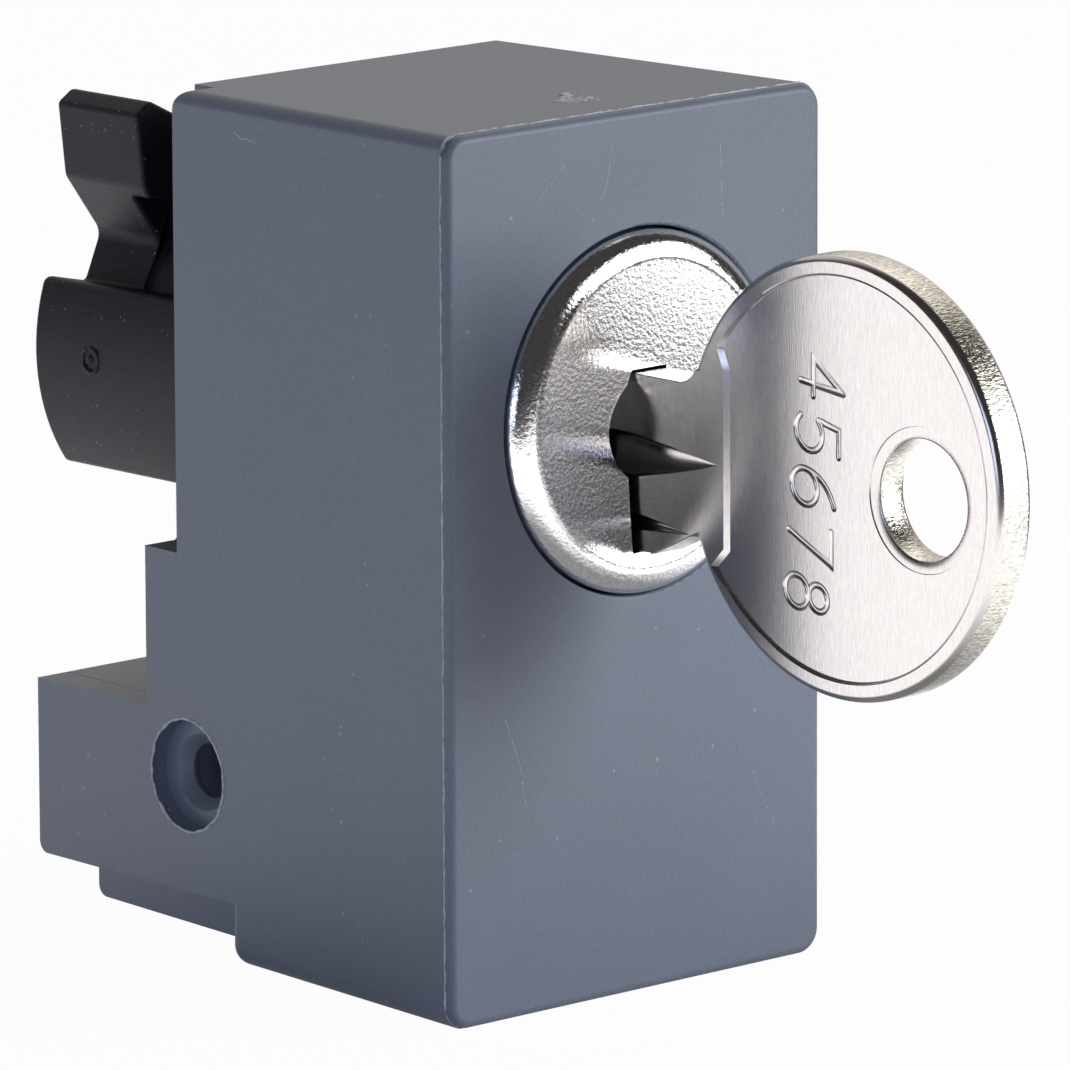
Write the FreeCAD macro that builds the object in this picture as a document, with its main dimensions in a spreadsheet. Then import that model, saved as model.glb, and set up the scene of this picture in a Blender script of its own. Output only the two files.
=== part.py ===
import FreeCAD, Part
import math
import os
import re
import Sketcher

# Key lock for an enclosure door: moulded housing, lock barrel, latch cam and key
# X is to the right of the front face, Y goes in from it and Z is up, in millimetres
# The origin is where the lock axis meets the plane of the front face
vec = FreeCAD.Vector
doc = FreeCAD.newDocument("EnclosureDoorLock")
sheet = doc.addObject("Spreadsheet::Sheet", "Sizes")

sizes = {
    # Housing outline at the front face, from the lock axis, and the moulding tapers per millimetre
    "face_left": "13.4",
    "face_right": "12.75",
    "face_top": "15.6",
    "face_bottom": "30.35",
    "side_taper": "0.0457",
    "top_taper": "0.006",
    "base_taper": "0.02",
    "top_left_round": "0.75",
    "long_round": "1.1",
    # Front of the housing, ahead of the mould's parting line
    "parting_depth": "0.5",
    "face_corner": "1.3",
    "face_round": "0.45",
    # Stepped back of the housing, as depths behind the front face and levels
    "upper_depth": "22.0",
    "roof_depth": "22.5",
    "waist_depth": "24.65",
    "foot_depth": "33.9",
    "base_depth": "18.1",
    "lug_setback": "2.5",
    "waist_level": "-8.8",
    "foot_roof_level": "-17.3",
    "foot_floor_level": "-26.7",
    "lug_floor_level": "-28.95",
    "ramp_level": "-6.35",
    "foot_corner": "0.65",
    "base_corner": "1.0",
    "wall": "2.0",
    "front_wall": "5.2",
    "fit_gap": "0.05",
    # Cross bore for the fixing screw
    "fixing_depth": "21.3",
    "fixing_level": "-20.5",
    "fixing_bore": "2.9",
    "counterbore": "5.95",
    "counterbore_depth": "1.1",
    "bore_countersink": "0.6",
    # Recess for the cap, and the collar that carries the barrel
    "recess_depth": "4.2",
    "lip_round": "0.15",
    "collar_depth": "9.0",
    "collar_wall": "1.8",
    # Screws of the carrier
    "boss_spread": "13.0",
    "boss_level": "-13.2",
    "boss_size": "6.0",
    "boss_end": "9.6",
    "carrier_front": "10.6",
    "carrier_web_end": "14.6",
    "carrier_screw": "3.0",
    "carrier_head": "5.6",
    "head_clearance": "0.4",
    "carrier_head_height": "1.9",
    "carrier_screw_tip": "5.8",
    "core_depth": "8.0",
    "core_rib": "2.0",
    # Barrel sleeve
    "sleeve_size": "16.6",
    "sleeve_wall": "1.45",
    "sleeve_end": "20.6",
    "flange_size": "18.8",
    "flange_front": "2.2",
    "flange_thickness": "1.0",
    "channel_width": "6.8",
    "channel_reach": "7.8",
    "channel_front": "5.0",
    "channel_end": "19.2",
    "seal_cord": "0.95",
    "clip_thickness": "1.0",
    "clip_width": "19.4",
    "clip_top": "11.0",
    "clip_bottom": "-8.0",
    "clip_flat": "14.6",
    # Plug, its tail and the stop
    "plug_size": "13.6",
    "plug_front": "2.05",
    "tail_width": "7.0",
    "stop_gap": "0.25",
    "stop_thickness": "1.2",
    "stop_hub": "13.2",
    "stop_size": "16.2",
    "stop_pin": "1.3",
    "stop_pin_place": "7.55",
    "stop_pin_seat": "1.3",
    "thrust_thickness": "0.4",
    "thrust_outer": "15.0",
    "thrust_inner": "10.4",
    # Cap
    "cap_size": "18.8",
    "cap_gap": "0.15",
    "cap_back": "2.0",
    "cap_edge": "-0.1",
    "cap_bevel": "1.2",
    "crest_level": "-0.95",
    "crest_flat": "0.15",
    "dish_level": "-0.4",
    "pin_size": "1.6",
    "pin_place": "4.9",
    "pin_front": "0.7",
    "pin_end": "4.6",
    # Keyway and key
    "key_thickness": "2.25",
    "key_clearance": "0.1",
    "neck_top": "2.2",
    "neck_bottom": "-7.0",
    "neck_rise_depth": "-2.0",
    "neck_root_depth": "-4.65",
    "neck_root_level": "-5.7",
    "blade_top": "1.7",
    "blade_bottom": "-5.7",
    "blade_end": "19.6",
    "blade_point": "1.6",
    "blade_clearance": "0.2",
    "bulge": "1.25",
    "bulge_top": "1.2",
    "bulge_middle": "-0.9",
    "bulge_bottom": "-3.3",
    "bow_size": "22.6",
    "bow_depth": "-15.5",
    "bow_level": "-1.25",
    "bow_root_round": "1.4",
    "ring_hole": "6.1",
    "ring_hole_depth": "-21.1",
    "ring_hole_level": "-1.55",
    "ring_hole_edge": "0.35",
    "groove_depth": "0.6",
    "groove_one_top": "-0.9",
    "groove_one_bottom": "-3.2",
    "groove_one_front": "-5.6",
    "groove_two_top": "-5.0",
    "groove_two_bottom": "-5.9",
    "groove_two_front": "-4.2",
    "bite": "0.8",
    # Wafers and their springs
    "wafer_count": "5",
    "wafer_first": "5.6",
    "wafer_pitch": "2.8",
    "wafer_slot": "1.5",
    "wafer_thickness": "1.4",
    "wafer_width": "6.3",
    "wafer_round": "13.4",
    "wafer_top": "3.1",
    "wafer_window_top": "2.3",
    "wafer_window_bottom": "-6.0",
    "wafer_window_width": "2.6",
    "slot_width": "6.4",
    "slot_top": "5.6",
    "spring_size": "1.2",
    "spring_wire": "0.22",
    "spring_turns": "5",
    # Latch cam
    "cam_gap": "0.1",
    "cam_length": "12.6",
    "cam_core": "15.8",
    "wing_size": "21.4",
    "wing_root": "4.0",
    "wing_top": "2.54",
    "wing_top_slope": "0.22",
    "wing_bottom_slope": "0.7625",
    "wing_round": "0.5",
    # Corners of the cam's arm, clockwise from where it leaves the core
    "arm_length": "5.0",
    "arm_root_x": "-6.0",
    "arm_heel_x": "-7.25",
    "arm_heel_z": "3.2",
    "arm_waist_x": "-6.15",
    "arm_waist_z": "5.75",
    "arm_neck_x": "-8.5",
    "arm_neck_z": "9.0",
    "arm_tip_x": "-8.95",
    "arm_tip_z": "12.95",
    "arm_peak_x": "-7.95",
    "arm_peak_z": "13.6",
    "arm_back_x": "-4.6",
    "arm_back_z": "11.9",
    "arm_throat_x": "-2.2",
    "arm_throat_z": "7.0",
    "arm_end_z": "4.0",
    "arm_round": "0.9",
    # The hook at the arm's end is thicker from this level up
    "hook_length": "6.45",
    "hook_level": "8.4",
    "web_inset": "1.0",
    "web_side": "5.0",
    "web_low": "2.0",
    "web_high": "9.0",
    "web_tip_x": "-5.6",
    "web_tip_z": "11.6",
    # Square socket and screw of the cam
    "socket_length": "8.6",
    "tail_gap": "0.2",
    "head_recess_depth": "2.0",
    "head_recess": "8.4",
    "cam_washer_size": "7.8",
    "cam_washer_thickness": "0.4",
    "cam_screw": "3.2",
    "cam_screw_clearance": "4.3",
    "cam_screw_head": "7.0",
    "cam_screw_head_height": "1.9",
    "cam_screw_length": "9.0",
    "driver_slot": "0.9",
    "driver_slot_depth": "0.9",
    # Detent under the cam
    "detent_inset": "0.4",
    "detent_ball": "1.6",
    "detent_gap": "0.1",
    "detent_hole_end": "-13.6",
    "detent_dimple": "0.3",
    "detent_spring_size": "1.4",
    "detent_wire": "0.22",
    "detent_turns": "6",
}

for row, (alias, value) in enumerate(sizes.items(), 1):
    sheet.set(f"A{row}", alias.replace("_", " "))
    sheet.set(f"B{row}", value)
    sheet.setAlias(f"B{row}", alias)
doc.recompute()


def bound(text):
    # Words that are cells of the sheet become references to them
    words = re.compile(r"[a-z]+(?:_[a-z]+)*")
    return words.sub(lambda m: "Sizes." + m.group() if m.group() in sizes else m.group(), text)


def number(text):
    value = sheet.evalExpression(bound(text))
    return float(getattr(value, "Value", value))


def newBody(label):
    body = doc.addObject("PartDesign::Body", label)
    body.Label = label
    return body


def newSketch(body, role, name, offset="0"):
    sketch = body.newObject("Sketcher::SketchObject", f"{body.Label}_{name}")
    origin = next(f for f in body.Origin.OriginFeatures if f.Role == role)
    sketch.AttachmentSupport = [(origin, "")]
    sketch.MapMode = "FlatFace"
    # The normal of the XZ plane points to the front, against Y
    sign = "-" if role == "XZ_Plane" else ""
    sketch.setExpression("AttachmentOffset.Base.z", bound(f"{sign}({offset})"))
    return sketch


def pin(sketch, geometry, point, place):
    for kind, text in zip(("DistanceX", "DistanceY"), place):
        constraint = Sketcher.Constraint(kind, -1, 1, geometry, point, number(text))
        index = sketch.addConstraint(constraint)
        sketch.setExpression(f"Constraints[{index}]", bound(text))


def outline(body, role, name, points, offset="0"):
    # Closed outline of straight sides, each corner held by the sheet
    sketch = newSketch(body, role, name, offset)
    places = [vec(number(a), number(b), 0) for a, b in points]
    for start, end in zip(places, places[1:] + places[:1]):
        sketch.addGeometry(Part.LineSegment(start, end))
    for side, place in enumerate(points):
        following = (side + 1) % len(points)
        sketch.addConstraint(Sketcher.Constraint("Coincident", side, 2, following, 1))
        pin(sketch, side, 1, place)
    return sketch


def rectangle(body, role, name, first, second, offset="0"):
    (a, b), (c, d) = first, second
    return outline(body, role, name, [(a, b), (c, b), (c, d), (a, d)], offset)


def circles(body, role, name, rounds, offset="0"):
    # Each round is its diameter and its centre
    sketch = newSketch(body, role, name, offset)
    for diameter, place in rounds:
        centre = vec(number(place[0]), number(place[1]), 0)
        index = sketch.addGeometry(Part.Circle(centre, vec(0, 0, 1), number(diameter) / 2))
        pin(sketch, index, 3, place)
        held = sketch.addConstraint(Sketcher.Constraint("Diameter", index, number(diameter)))
        sketch.setExpression(f"Constraints[{held}]", bound(diameter))
    return sketch


def feature(body, kind, name, sketch):
    made = body.newObject(f"PartDesign::{kind}", f"{body.Label}_{name}")
    made.Profile = sketch
    sketch.Visibility = False
    return made


def pad(body, name, sketch, length, back=True):
    # A sketch on the XZ plane is padded away from the front face
    made = feature(body, "Pad", name, sketch)
    made.setExpression("Length", bound(length))
    made.Reversed = back
    doc.recompute()
    return made


def pocket(body, name, sketch, length, turned=False):
    made = feature(body, "Pocket", name, sketch)
    made.setExpression("Length", bound(length))
    made.Reversed = turned
    doc.recompute()
    return made


def cutThrough(body, name, sketch):
    made = feature(body, "Pocket", name, sketch)
    made.Type = "ThroughAll"
    made.Midplane = True
    doc.recompute()
    return made


def wedge(body, kind, name, start, end, section):
    # Block along Y whose section is given at its start and its end
    made = body.newObject(f"PartDesign::{kind}", f"{body.Label}_{name}")
    sizes_of_wedge = {"Ymin": start, "Ymax": end}
    for depth, mark in ((start, ""), (end, "2")):
        (left, bottom), (right, top) = section(depth)
        sizes_of_wedge.update({f"X{mark}min": left, f"X{mark}max": right})
        sizes_of_wedge.update({f"Z{mark}min": bottom, f"Z{mark}max": top})
    # Plain values come first, because a wedge refuses limits that cross on the way
    for side in ("min", "max"):
        for prop, text in sizes_of_wedge.items():
            if prop.endswith(side):
                setattr(made, prop, number(text))
    for prop, text in sizes_of_wedge.items():
        made.setExpression(prop, bound(text))
    doc.recompute()
    return made


def dress(body, kind, name, edges, prop, amount):
    # Fillet or chamfer on the edges that the test picks
    base = body.Tip
    names = [f"Edge{i}" for i, edge in enumerate(base.Shape.Edges, 1) if edges(edge)]
    made = body.newObject(f"PartDesign::{kind}", f"{body.Label}_{name}")
    made.Base = (base, names)
    made.setExpression(prop, bound(amount))
    doc.recompute()
    return made


def near(value, text):
    return abs(value - number(text)) < 1e-4


def isRound(edge, diameter):
    if edge.Degenerated or not isinstance(edge.Curve, Part.Circle):
        return False
    return near(edge.Curve.Radius * 2, diameter)


def alongY(edge, x, z):
    # A straight edge along Y that passes through a place in the XZ plane
    box = edge.BoundBox
    flat = box.XLength < 1e-6 and box.ZLength < 1e-6
    return flat and near(box.XMin, x) and near(box.ZMin, z)


def tapered(depth, inset="0"):
    # Corners of the housing's section at a depth, drawn in by an inset
    left = f"-(face_left - side_taper * ({depth}) - ({inset}))"
    right = f"face_right - side_taper * ({depth}) - ({inset})"
    top = f"face_top - top_taper * ({depth}) - ({inset})"
    bottom = f"-(face_bottom - base_taper * ({depth}) - ({inset}))"
    return (left, bottom), (right, top)


# Housing shell, with rounder corners ahead of the parting line than behind it
shell = newBody("housing_shell")
wedge(shell, "AdditiveWedge", "face", "0", "parting_depth", tapered)


def faceCorner(edge):
    return edge.BoundBox.YLength > number("parting_depth / 2")


def faceRim(edge):
    return edge.BoundBox.YMax < 1e-4


def topLeftEdge(edge):
    box = edge.BoundBox
    return box.YLength > number("foot_depth / 2") and box.XMax < 0 and box.ZMin > 0


def otherLongEdge(edge):
    return edge.BoundBox.YLength > number("foot_depth / 2") and not topLeftEdge(edge)


dress(shell, "Fillet", "face_corners", faceCorner, "Radius", "face_corner")
dress(shell, "Fillet", "face_rim", faceRim, "Radius", "face_round")
wedge(shell, "AdditiveWedge", "block", "parting_depth", "foot_depth", tapered)
dress(shell, "Fillet", "long_edges", otherLongEdge, "Radius", "long_round")
dress(shell, "Fillet", "top_left", topLeftEdge, "Radius", "top_left_round")
above_steps = [
    ("roof_depth", "face_top + wall"),
    ("roof_depth", "waist_level"),
    ("waist_depth", "waist_level"),
    ("waist_depth", "foot_roof_level"),
    ("foot_depth + wall", "foot_roof_level"),
    ("foot_depth + wall", "face_top + wall"),
]
cutThrough(shell, "steps", outline(shell, "YZ_Plane", "steps", above_steps))
below_foot = rectangle(shell, "YZ_Plane", "below_foot", ("base_depth", "foot_floor_level"),
                       ("foot_depth + wall", "-face_bottom - wall"))
cutThrough(shell, "heel", below_foot)


def heelEdge(edge):
    box = edge.BoundBox
    lying = box.YLength < 1e-4 and box.ZLength < 1e-4
    foot = near(box.YMin, "foot_depth") and near(box.ZMin, "foot_floor_level")
    return lying and foot


def baseEdge(edge):
    box = edge.BoundBox
    lying = box.YLength < 1e-4 and box.ZLength < 1e-4
    return lying and near(box.YMin, "base_depth") and box.ZMin < number("lug_floor_level")


dress(shell, "Fillet", "foot_heel", heelEdge, "Radius", "foot_corner")
dress(shell, "Fillet", "base_heel", baseEdge, "Radius", "base_corner")


def cavitySection(depth):
    return tapered(depth, "wall")


wedge(shell, "SubtractiveWedge", "cavity", "front_wall", "foot_depth + wall", cavitySection)
# The left wall ends a little short of the roof
inner_left = "-(face_left - side_taper * upper_depth - wall)"
cheek = rectangle(shell, "XZ_Plane", "cheek", ("-face_left", "waist_level"), (inner_left, "face_top + wall"),
                  "upper_depth")
pocket(shell, "cheek_end", cheek, "roof_depth - upper_depth + wall")

axis = ("0", "0")
# Depths behind the barrel, each from the piece before it
stop_front = "(sleeve_end + stop_gap)"
washer_front = f"({stop_front} + stop_thickness + fit_gap)"
cam_front = f"({washer_front} + thrust_thickness + cam_gap)"
cam_end = f"({cam_front} + cam_length)"
arm_front = f"({cam_end} - arm_length)"
web_front = f"({cam_front} + web_inset)"
socket_end = f"({cam_front} + socket_length)"
tail_end = f"({socket_end} - tail_gap)"
screw_seat = f"({cam_end} - head_recess_depth)"
cam_screw_tip = f"({screw_seat} - cam_screw_length)"
detent_depth = f"({cam_front} + detent_inset)"

behind_front = "front_wall - wall"
collar = circles(shell, "XZ_Plane", "collar", [("sleeve_size + 2 * collar_wall", axis)], behind_front)
pad(shell, "collar", collar, "collar_depth - front_wall + wall")
boss_places = [("boss_spread / 2", "boss_level"), ("-boss_spread / 2", "boss_level")]
bosses = circles(shell, "XZ_Plane", "bosses", [("boss_size", p) for p in boss_places], behind_front)
pad(shell, "bosses", bosses, "boss_end - front_wall + wall")
pilot_rounds = [("carrier_screw + fit_gap", p) for p in boss_places]
pilots = circles(shell, "XZ_Plane", "pilots", pilot_rounds, "boss_end")
pocket(shell, "pilots", pilots, "boss_end - carrier_screw_tip + fit_gap", turned=True)
recess_size = "cap_size + 2 * cap_gap"
recess = circles(shell, "XZ_Plane", "recess", [(recess_size, axis)])
pocket(shell, "recess", recess, "recess_depth")
barrel_hole = circles(shell, "XZ_Plane", "barrel_hole", [("sleeve_size + 2 * fit_gap", axis)])
pocket(shell, "barrel_hole", barrel_hole, "collar_depth + wall")


def lipEdge(edge):
    return isRound(edge, recess_size) and near(edge.BoundBox.YMax, "0")


dress(shell, "Fillet", "lip", lipEdge, "Radius", "lip_round")
fixing_place = ("fixing_depth", "fixing_level")
fixing = circles(shell, "YZ_Plane", "fixing", [("fixing_bore", fixing_place)])
cutThrough(shell, "fixing", fixing)
side_at_bore = "(side_taper * fixing_depth + counterbore_depth)"
seat_left = circles(shell, "YZ_Plane", "seat_left", [("counterbore", fixing_place)],
                    f"-(face_left - {side_at_bore})")
pocket(shell, "seat_left", seat_left, "counterbore_depth + wall")
seat_right = circles(shell, "YZ_Plane", "seat_right", [("counterbore", fixing_place)],
                     f"face_right - {side_at_bore}")
pocket(shell, "seat_right", seat_right, "counterbore_depth + wall", turned=True)


def boreSeat(edge):
    # Rims of the bore on the floors of the two counterbores
    inner_wall = number("face_right - side_taper * fixing_depth - wall + fit_gap")
    return isRound(edge, "fixing_bore") and abs(edge.Curve.Center.x) > inner_wall


dress(shell, "Chamfer", "bore_seats", boreSeat, "Size", "bore_countersink")

# Carrier block that closes the lower back and cradles the barrel
carrier = newBody("rear_carrier")
lug_depth = "(foot_depth - lug_setback)"


def carrierSection(depth):
    (left, _), (right, _) = tapered(depth, "wall + fit_gap")
    return (left, f"lug_floor_level - base_taper * ({lug_depth} - {depth})"), (right, "ramp_level")


wedge(carrier, "AdditiveWedge", "block", "carrier_front", "foot_depth", carrierSection)
ramp = [
    ("upper_depth", "ramp_level + wall"),
    ("upper_depth", "ramp_level"),
    ("waist_depth", "waist_level"),
    ("waist_depth", "foot_roof_level"),
    ("foot_depth + wall", "foot_roof_level"),
    ("foot_depth + wall", "ramp_level + wall"),
]
cutThrough(carrier, "ramp", outline(carrier, "YZ_Plane", "ramp", ramp))
# The front of the block stands on the floor inside the shell
floor_inside = "-(face_bottom - base_taper * base_depth - wall - fit_gap)"
on_floor = rectangle(carrier, "YZ_Plane", "on_floor", ("carrier_front - wall", "lug_floor_level - wall"),
                     ("base_depth + fit_gap", floor_inside))
cutThrough(carrier, "floor", on_floor)
below_lug = rectangle(carrier, "YZ_Plane", "below_lug", (lug_depth, "foot_floor_level"),
                      ("foot_depth + wall", "lug_floor_level - wall"))
cutThrough(carrier, "lug", below_lug)


def lugEdge(edge):
    box = edge.BoundBox
    lying = box.YLength < 1e-4 and box.ZLength < 1e-4
    foot = near(box.YMin, "foot_depth") and near(box.ZMin, "foot_floor_level")
    lug = near(box.YMin, lug_depth) and near(box.ZMin, "lug_floor_level")
    return lying and (foot or lug)


dress(carrier, "Fillet", "heels", lugEdge, "Radius", "foot_corner")
saddle = circles(carrier, "XZ_Plane", "saddle", [("sleeve_size + 2 * fit_gap", axis)])
pocket(carrier, "saddle", saddle, "foot_depth")
head_rounds = [("carrier_head + head_clearance", p) for p in boss_places]
head_holes = circles(carrier, "XZ_Plane", "head_holes", head_rounds, "carrier_web_end")
pocket(carrier, "head_holes", head_holes, "foot_depth")
shank_rounds = [("carrier_screw + 2 * fit_gap", p) for p in boss_places]
shank_holes = circles(carrier, "XZ_Plane", "shank_holes", shank_rounds)
pocket(carrier, "shank_holes", shank_holes, "foot_depth")
core_half = "face_right - side_taper * foot_depth - 2 * wall"
core_top = "foot_roof_level - core_rib"
core_bottom = "foot_floor_level + core_rib"
core_sides = [("right", "core_rib / 2", core_half), ("left", "-core_rib / 2", f"-({core_half})")]
for side, inner, outer in core_sides:
    sketch = rectangle(carrier, "XZ_Plane", f"core_{side}", (inner, core_bottom), (outer, core_top),
                       "foot_depth - core_depth")
    pocket(carrier, f"core_{side}_hollow", sketch, "core_depth + wall")
carrier_fixing = circles(carrier, "YZ_Plane", "fixing", [("fixing_bore", fixing_place)])
cutThrough(carrier, "fixing", carrier_fixing)
detent_round = ("detent_ball + 2 * fit_gap", ("0", detent_depth))
detent_hole = circles(carrier, "XY_Plane", "detent_hole", [detent_round], "detent_hole_end")
pocket(carrier, "detent_hole", detent_hole, "-detent_hole_end", turned=True)


def screw(label, place, shank, tip, head, seat, height):
    # Round-headed screw along Y, driven from the back
    body = newBody(label)
    x, z = place
    pad(body, "shank", circles(body, "XZ_Plane", "shank_round", [(shank, place)], tip), f"{seat} - ({tip})")
    pad(body, "head", circles(body, "XZ_Plane", "head_round", [(head, place)], seat), height)
    slot_floor = f"{seat} + {height} - driver_slot_depth"
    slot = rectangle(body, "XZ_Plane", "slot", (f"{x} - {head} / 2", f"{z} - driver_slot / 2"),
                     (f"{x} + {head} / 2", f"{z} + driver_slot / 2"), slot_floor)
    pocket(body, "driver", slot, "driver_slot_depth + wall")
    return body


# Screws that hold the carrier in the shell, as a pair of separate solids
pair = []
for index, place in enumerate(boss_places, 1):
    made = screw(f"carrier_screw_{index}", place, "carrier_screw", "carrier_screw_tip", "carrier_head",
                 "carrier_web_end", "carrier_head_height")
    pair.append(made)
carrier_screws = doc.addObject("Part::Compound", "carrier_screws")
carrier_screws.Links = pair

# Barrel sleeve, fixed in the collar
sleeve = newBody("barrel_sleeve")
sleeve_flange = circles(sleeve, "XZ_Plane", "flange", [("flange_size", axis)], "flange_front")
pad(sleeve, "flange", sleeve_flange, "flange_thickness")
sleeve_tube = circles(sleeve, "XZ_Plane", "tube", [("sleeve_size", axis)], "flange_front")
pad(sleeve, "tube", sleeve_tube, "sleeve_end - flange_front")
sleeve_bore = circles(sleeve, "XZ_Plane", "bore", [("sleeve_size - 2 * sleeve_wall", axis)])
pocket(sleeve, "bore", sleeve_bore, "sleeve_end + wall")
# The wafers have room where the key comes out, below and a quarter turn on
channel_low = rectangle(sleeve, "XZ_Plane", "channel_low", ("-channel_width / 2", "-channel_reach"),
                        ("channel_width / 2", "0"), "channel_front")
pocket(sleeve, "channel_low_cut", channel_low, "channel_end - channel_front")
channel_left = rectangle(sleeve, "XZ_Plane", "channel_left", ("-channel_reach", "-channel_width / 2"),
                         ("0", "channel_width / 2"), "channel_front")
pocket(sleeve, "channel_left_cut", channel_left, "channel_end - channel_front")
for side, sign in (("right", ""), ("left", "-")):
    flat = rectangle(sleeve, "XZ_Plane", f"clip_flat_{side}", (f"{sign}clip_flat / 2", "-sleeve_size"),
                     (f"{sign}sleeve_size", "sleeve_size"), "collar_depth")
    pocket(sleeve, f"clip_flat_{side}_cut", flat, "clip_thickness + 2 * fit_gap")
pin_place = ("-stop_pin_place", "0")
stop_seat = circles(sleeve, "XZ_Plane", "stop_seat", [("stop_pin", pin_place)], "sleeve_end - stop_pin_seat")
pocket(sleeve, "stop_seat", stop_seat, "stop_pin_seat + wall")

# Spring clip behind the collar
clip = newBody("sleeve_clip")
clip_front = "collar_depth + fit_gap"
clip_plate = [
    ("-clip_width / 2", "clip_top"),
    ("clip_width / 2", "clip_top"),
    ("clip_width / 2", "clip_bottom"),
    ("clip_flat / 2 + fit_gap", "clip_bottom"),
    ("clip_flat / 2 + fit_gap", "sleeve_size / 2 + fit_gap"),
    ("-clip_flat / 2 - fit_gap", "sleeve_size / 2 + fit_gap"),
    ("-clip_flat / 2 - fit_gap", "clip_bottom"),
    ("-clip_width / 2", "clip_bottom"),
]
pad(clip, "plate", outline(clip, "XZ_Plane", "plate", clip_plate, clip_front), "clip_thickness")

# Ring seal between the sleeve's flange and the floor of the recess
seal = doc.addObject("Part::Torus", "recess_seal")
seal.setExpression("Radius1", bound("sleeve_size / 2 + seal_cord / 2 + 2 * fit_gap"))
seal.setExpression("Radius2", bound("seal_cord / 2"))
seal.Placement.Rotation = FreeCAD.Rotation(vec(1, 0, 0), 90)
seal.setExpression("Placement.Base.y", bound("(flange_front + flange_thickness + recess_depth) / 2"))

# Stop pin in the end of the sleeve
stop_pin = newBody("stop_pin")
stop_round = circles(stop_pin, "XZ_Plane", "round", [("stop_pin", pin_place)], "sleeve_end - stop_pin_seat")
pad(stop_pin, "rod", stop_round, "stop_pin_seat + stop_gap + stop_thickness")

# Detent ball in the carrier, under the cam
ball = doc.addObject("Part::Sphere", "detent_ball")
ball.setExpression("Radius", bound("detent_ball / 2"))
ball_level = "-(cam_core / 2 + detent_gap + detent_ball / 2)"
ball.setExpression("Placement.Base.y", bound(detent_depth))
ball.setExpression("Placement.Base.z", bound(ball_level))


def coil(low, high, x, y, diameter, wire, turns):
    # Compression spring along Z as one swept solid
    height = high - low - wire
    helix = Part.makeHelix(height / turns, height, (diameter - wire) / 2)
    start = helix.Vertexes[0].Point
    section = Part.Wire(Part.makeCircle(wire / 2, start, vec(0, 1, 0)))
    solid = Part.Wire(helix).makePipeShell([section], True, True)
    solid.translate(vec(x, y, low + wire / 2))
    return solid


detent_spring = doc.addObject("Part::Feature", "detent_spring")
detent_spring.Shape = coil(number("detent_hole_end"), number(f"{ball_level} - detent_ball / 2"), 0,
                           number(detent_depth), number("detent_spring_size"), number("detent_wire"),
                           number("detent_turns"))

# Chromed cap that turns with the plug
cap = newBody("chrome_cap")
cap_profile = [
    ("0", "cap_back"),
    ("0", "dish_level"),
    ("cap_size / 2 - cap_bevel - crest_flat", "crest_level"),
    ("cap_size / 2 - cap_bevel", "crest_level"),
    ("cap_size / 2", "cap_edge"),
    ("cap_size / 2", "cap_back"),
]
cap_sketch = outline(cap, "XY_Plane", "profile", cap_profile)
turned = feature(cap, "Revolution", "turned", cap_sketch)
turned.ReferenceAxis = (next(f for f in cap.Origin.OriginFeatures if f.Role == "Y_Axis"), [""])
doc.recompute()
slot_half = "key_thickness / 2 + key_clearance"
keyway = [
    (f"{slot_half}", "neck_top + key_clearance"),
    (f"{slot_half}", "neck_bottom - key_clearance"),
    (f"-({slot_half})", "neck_bottom - key_clearance"),
    (f"-({slot_half})", "bulge_bottom"),
    (f"-({slot_half} + bulge)", "bulge_middle - bulge / 2"),
    (f"-({slot_half} + bulge)", "bulge_middle + bulge / 2"),
    (f"-({slot_half})", "bulge_top"),
    (f"-({slot_half})", "neck_top + key_clearance"),
]
keyway_sketch = outline(cap, "XZ_Plane", "keyway", keyway, "crest_level - wall")
pocket(cap, "keyway", keyway_sketch, "cap_back - crest_level + 2 * wall")
pin_places = [("pin_place", "0"), ("-pin_place", "0")]
pin_rounds = [("pin_size", p) for p in pin_places]
cap_holes = circles(cap, "XZ_Plane", "pin_holes", pin_rounds, "pin_front")
pocket(cap, "pin_holes", cap_holes, "cap_back - pin_front + wall")

# Plug that holds the key, with a square tail for the cam
plug = newBody("plug")
plug_round = circles(plug, "XZ_Plane", "round", [("plug_size", axis)], "plug_front")
pad(plug, "core", plug_round, "sleeve_end + fit_gap - plug_front")
tail = rectangle(plug, "XZ_Plane", "tail", ("-tail_width / 2", "-tail_width / 2"),
                 ("tail_width / 2", "tail_width / 2"), "sleeve_end")
pad(plug, "tail", tail, f"{tail_end} - sleeve_end")
blade_half = "key_thickness / 2 + key_clearance"
plug_keyway = rectangle(plug, "XZ_Plane", "keyway", (f"-({blade_half})", "blade_bottom - blade_clearance"),
                        (f"{blade_half}", "blade_top + blade_clearance"), "plug_front - wall")
pocket(plug, "keyway", plug_keyway, "blade_end + blade_clearance - plug_front + wall")
first_slot = rectangle(plug, "XZ_Plane", "slot", ("-slot_width / 2", "-plug_size"),
                       ("slot_width / 2", "slot_top"), "wafer_first")
slot = pocket(plug, "slot", first_slot, "wafer_slot")
slots = plug.newObject("PartDesign::LinearPattern", "plug_slots")
slots.Originals = [slot]
slots.Direction = (next(f for f in plug.Origin.OriginFeatures if f.Role == "Y_Axis"), [""])
slots.setExpression("Length", bound("(wafer_count - 1) * wafer_pitch"))
slots.setExpression("Occurrences", bound("wafer_count"))
plug.Tip = slots
doc.recompute()
plug_holes = circles(plug, "XZ_Plane", "pin_holes", pin_rounds, "plug_front - wall")
pocket(plug, "pin_holes", plug_holes, "pin_end - plug_front + wall")
tap_hole = circles(plug, "XZ_Plane", "tap_hole", [("cam_screw + fit_gap", axis)],
                   f"{cam_screw_tip} - fit_gap")
pocket(plug, "tap_hole", tap_hole, f"{tail_end} - {cam_screw_tip} + wall")

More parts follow.
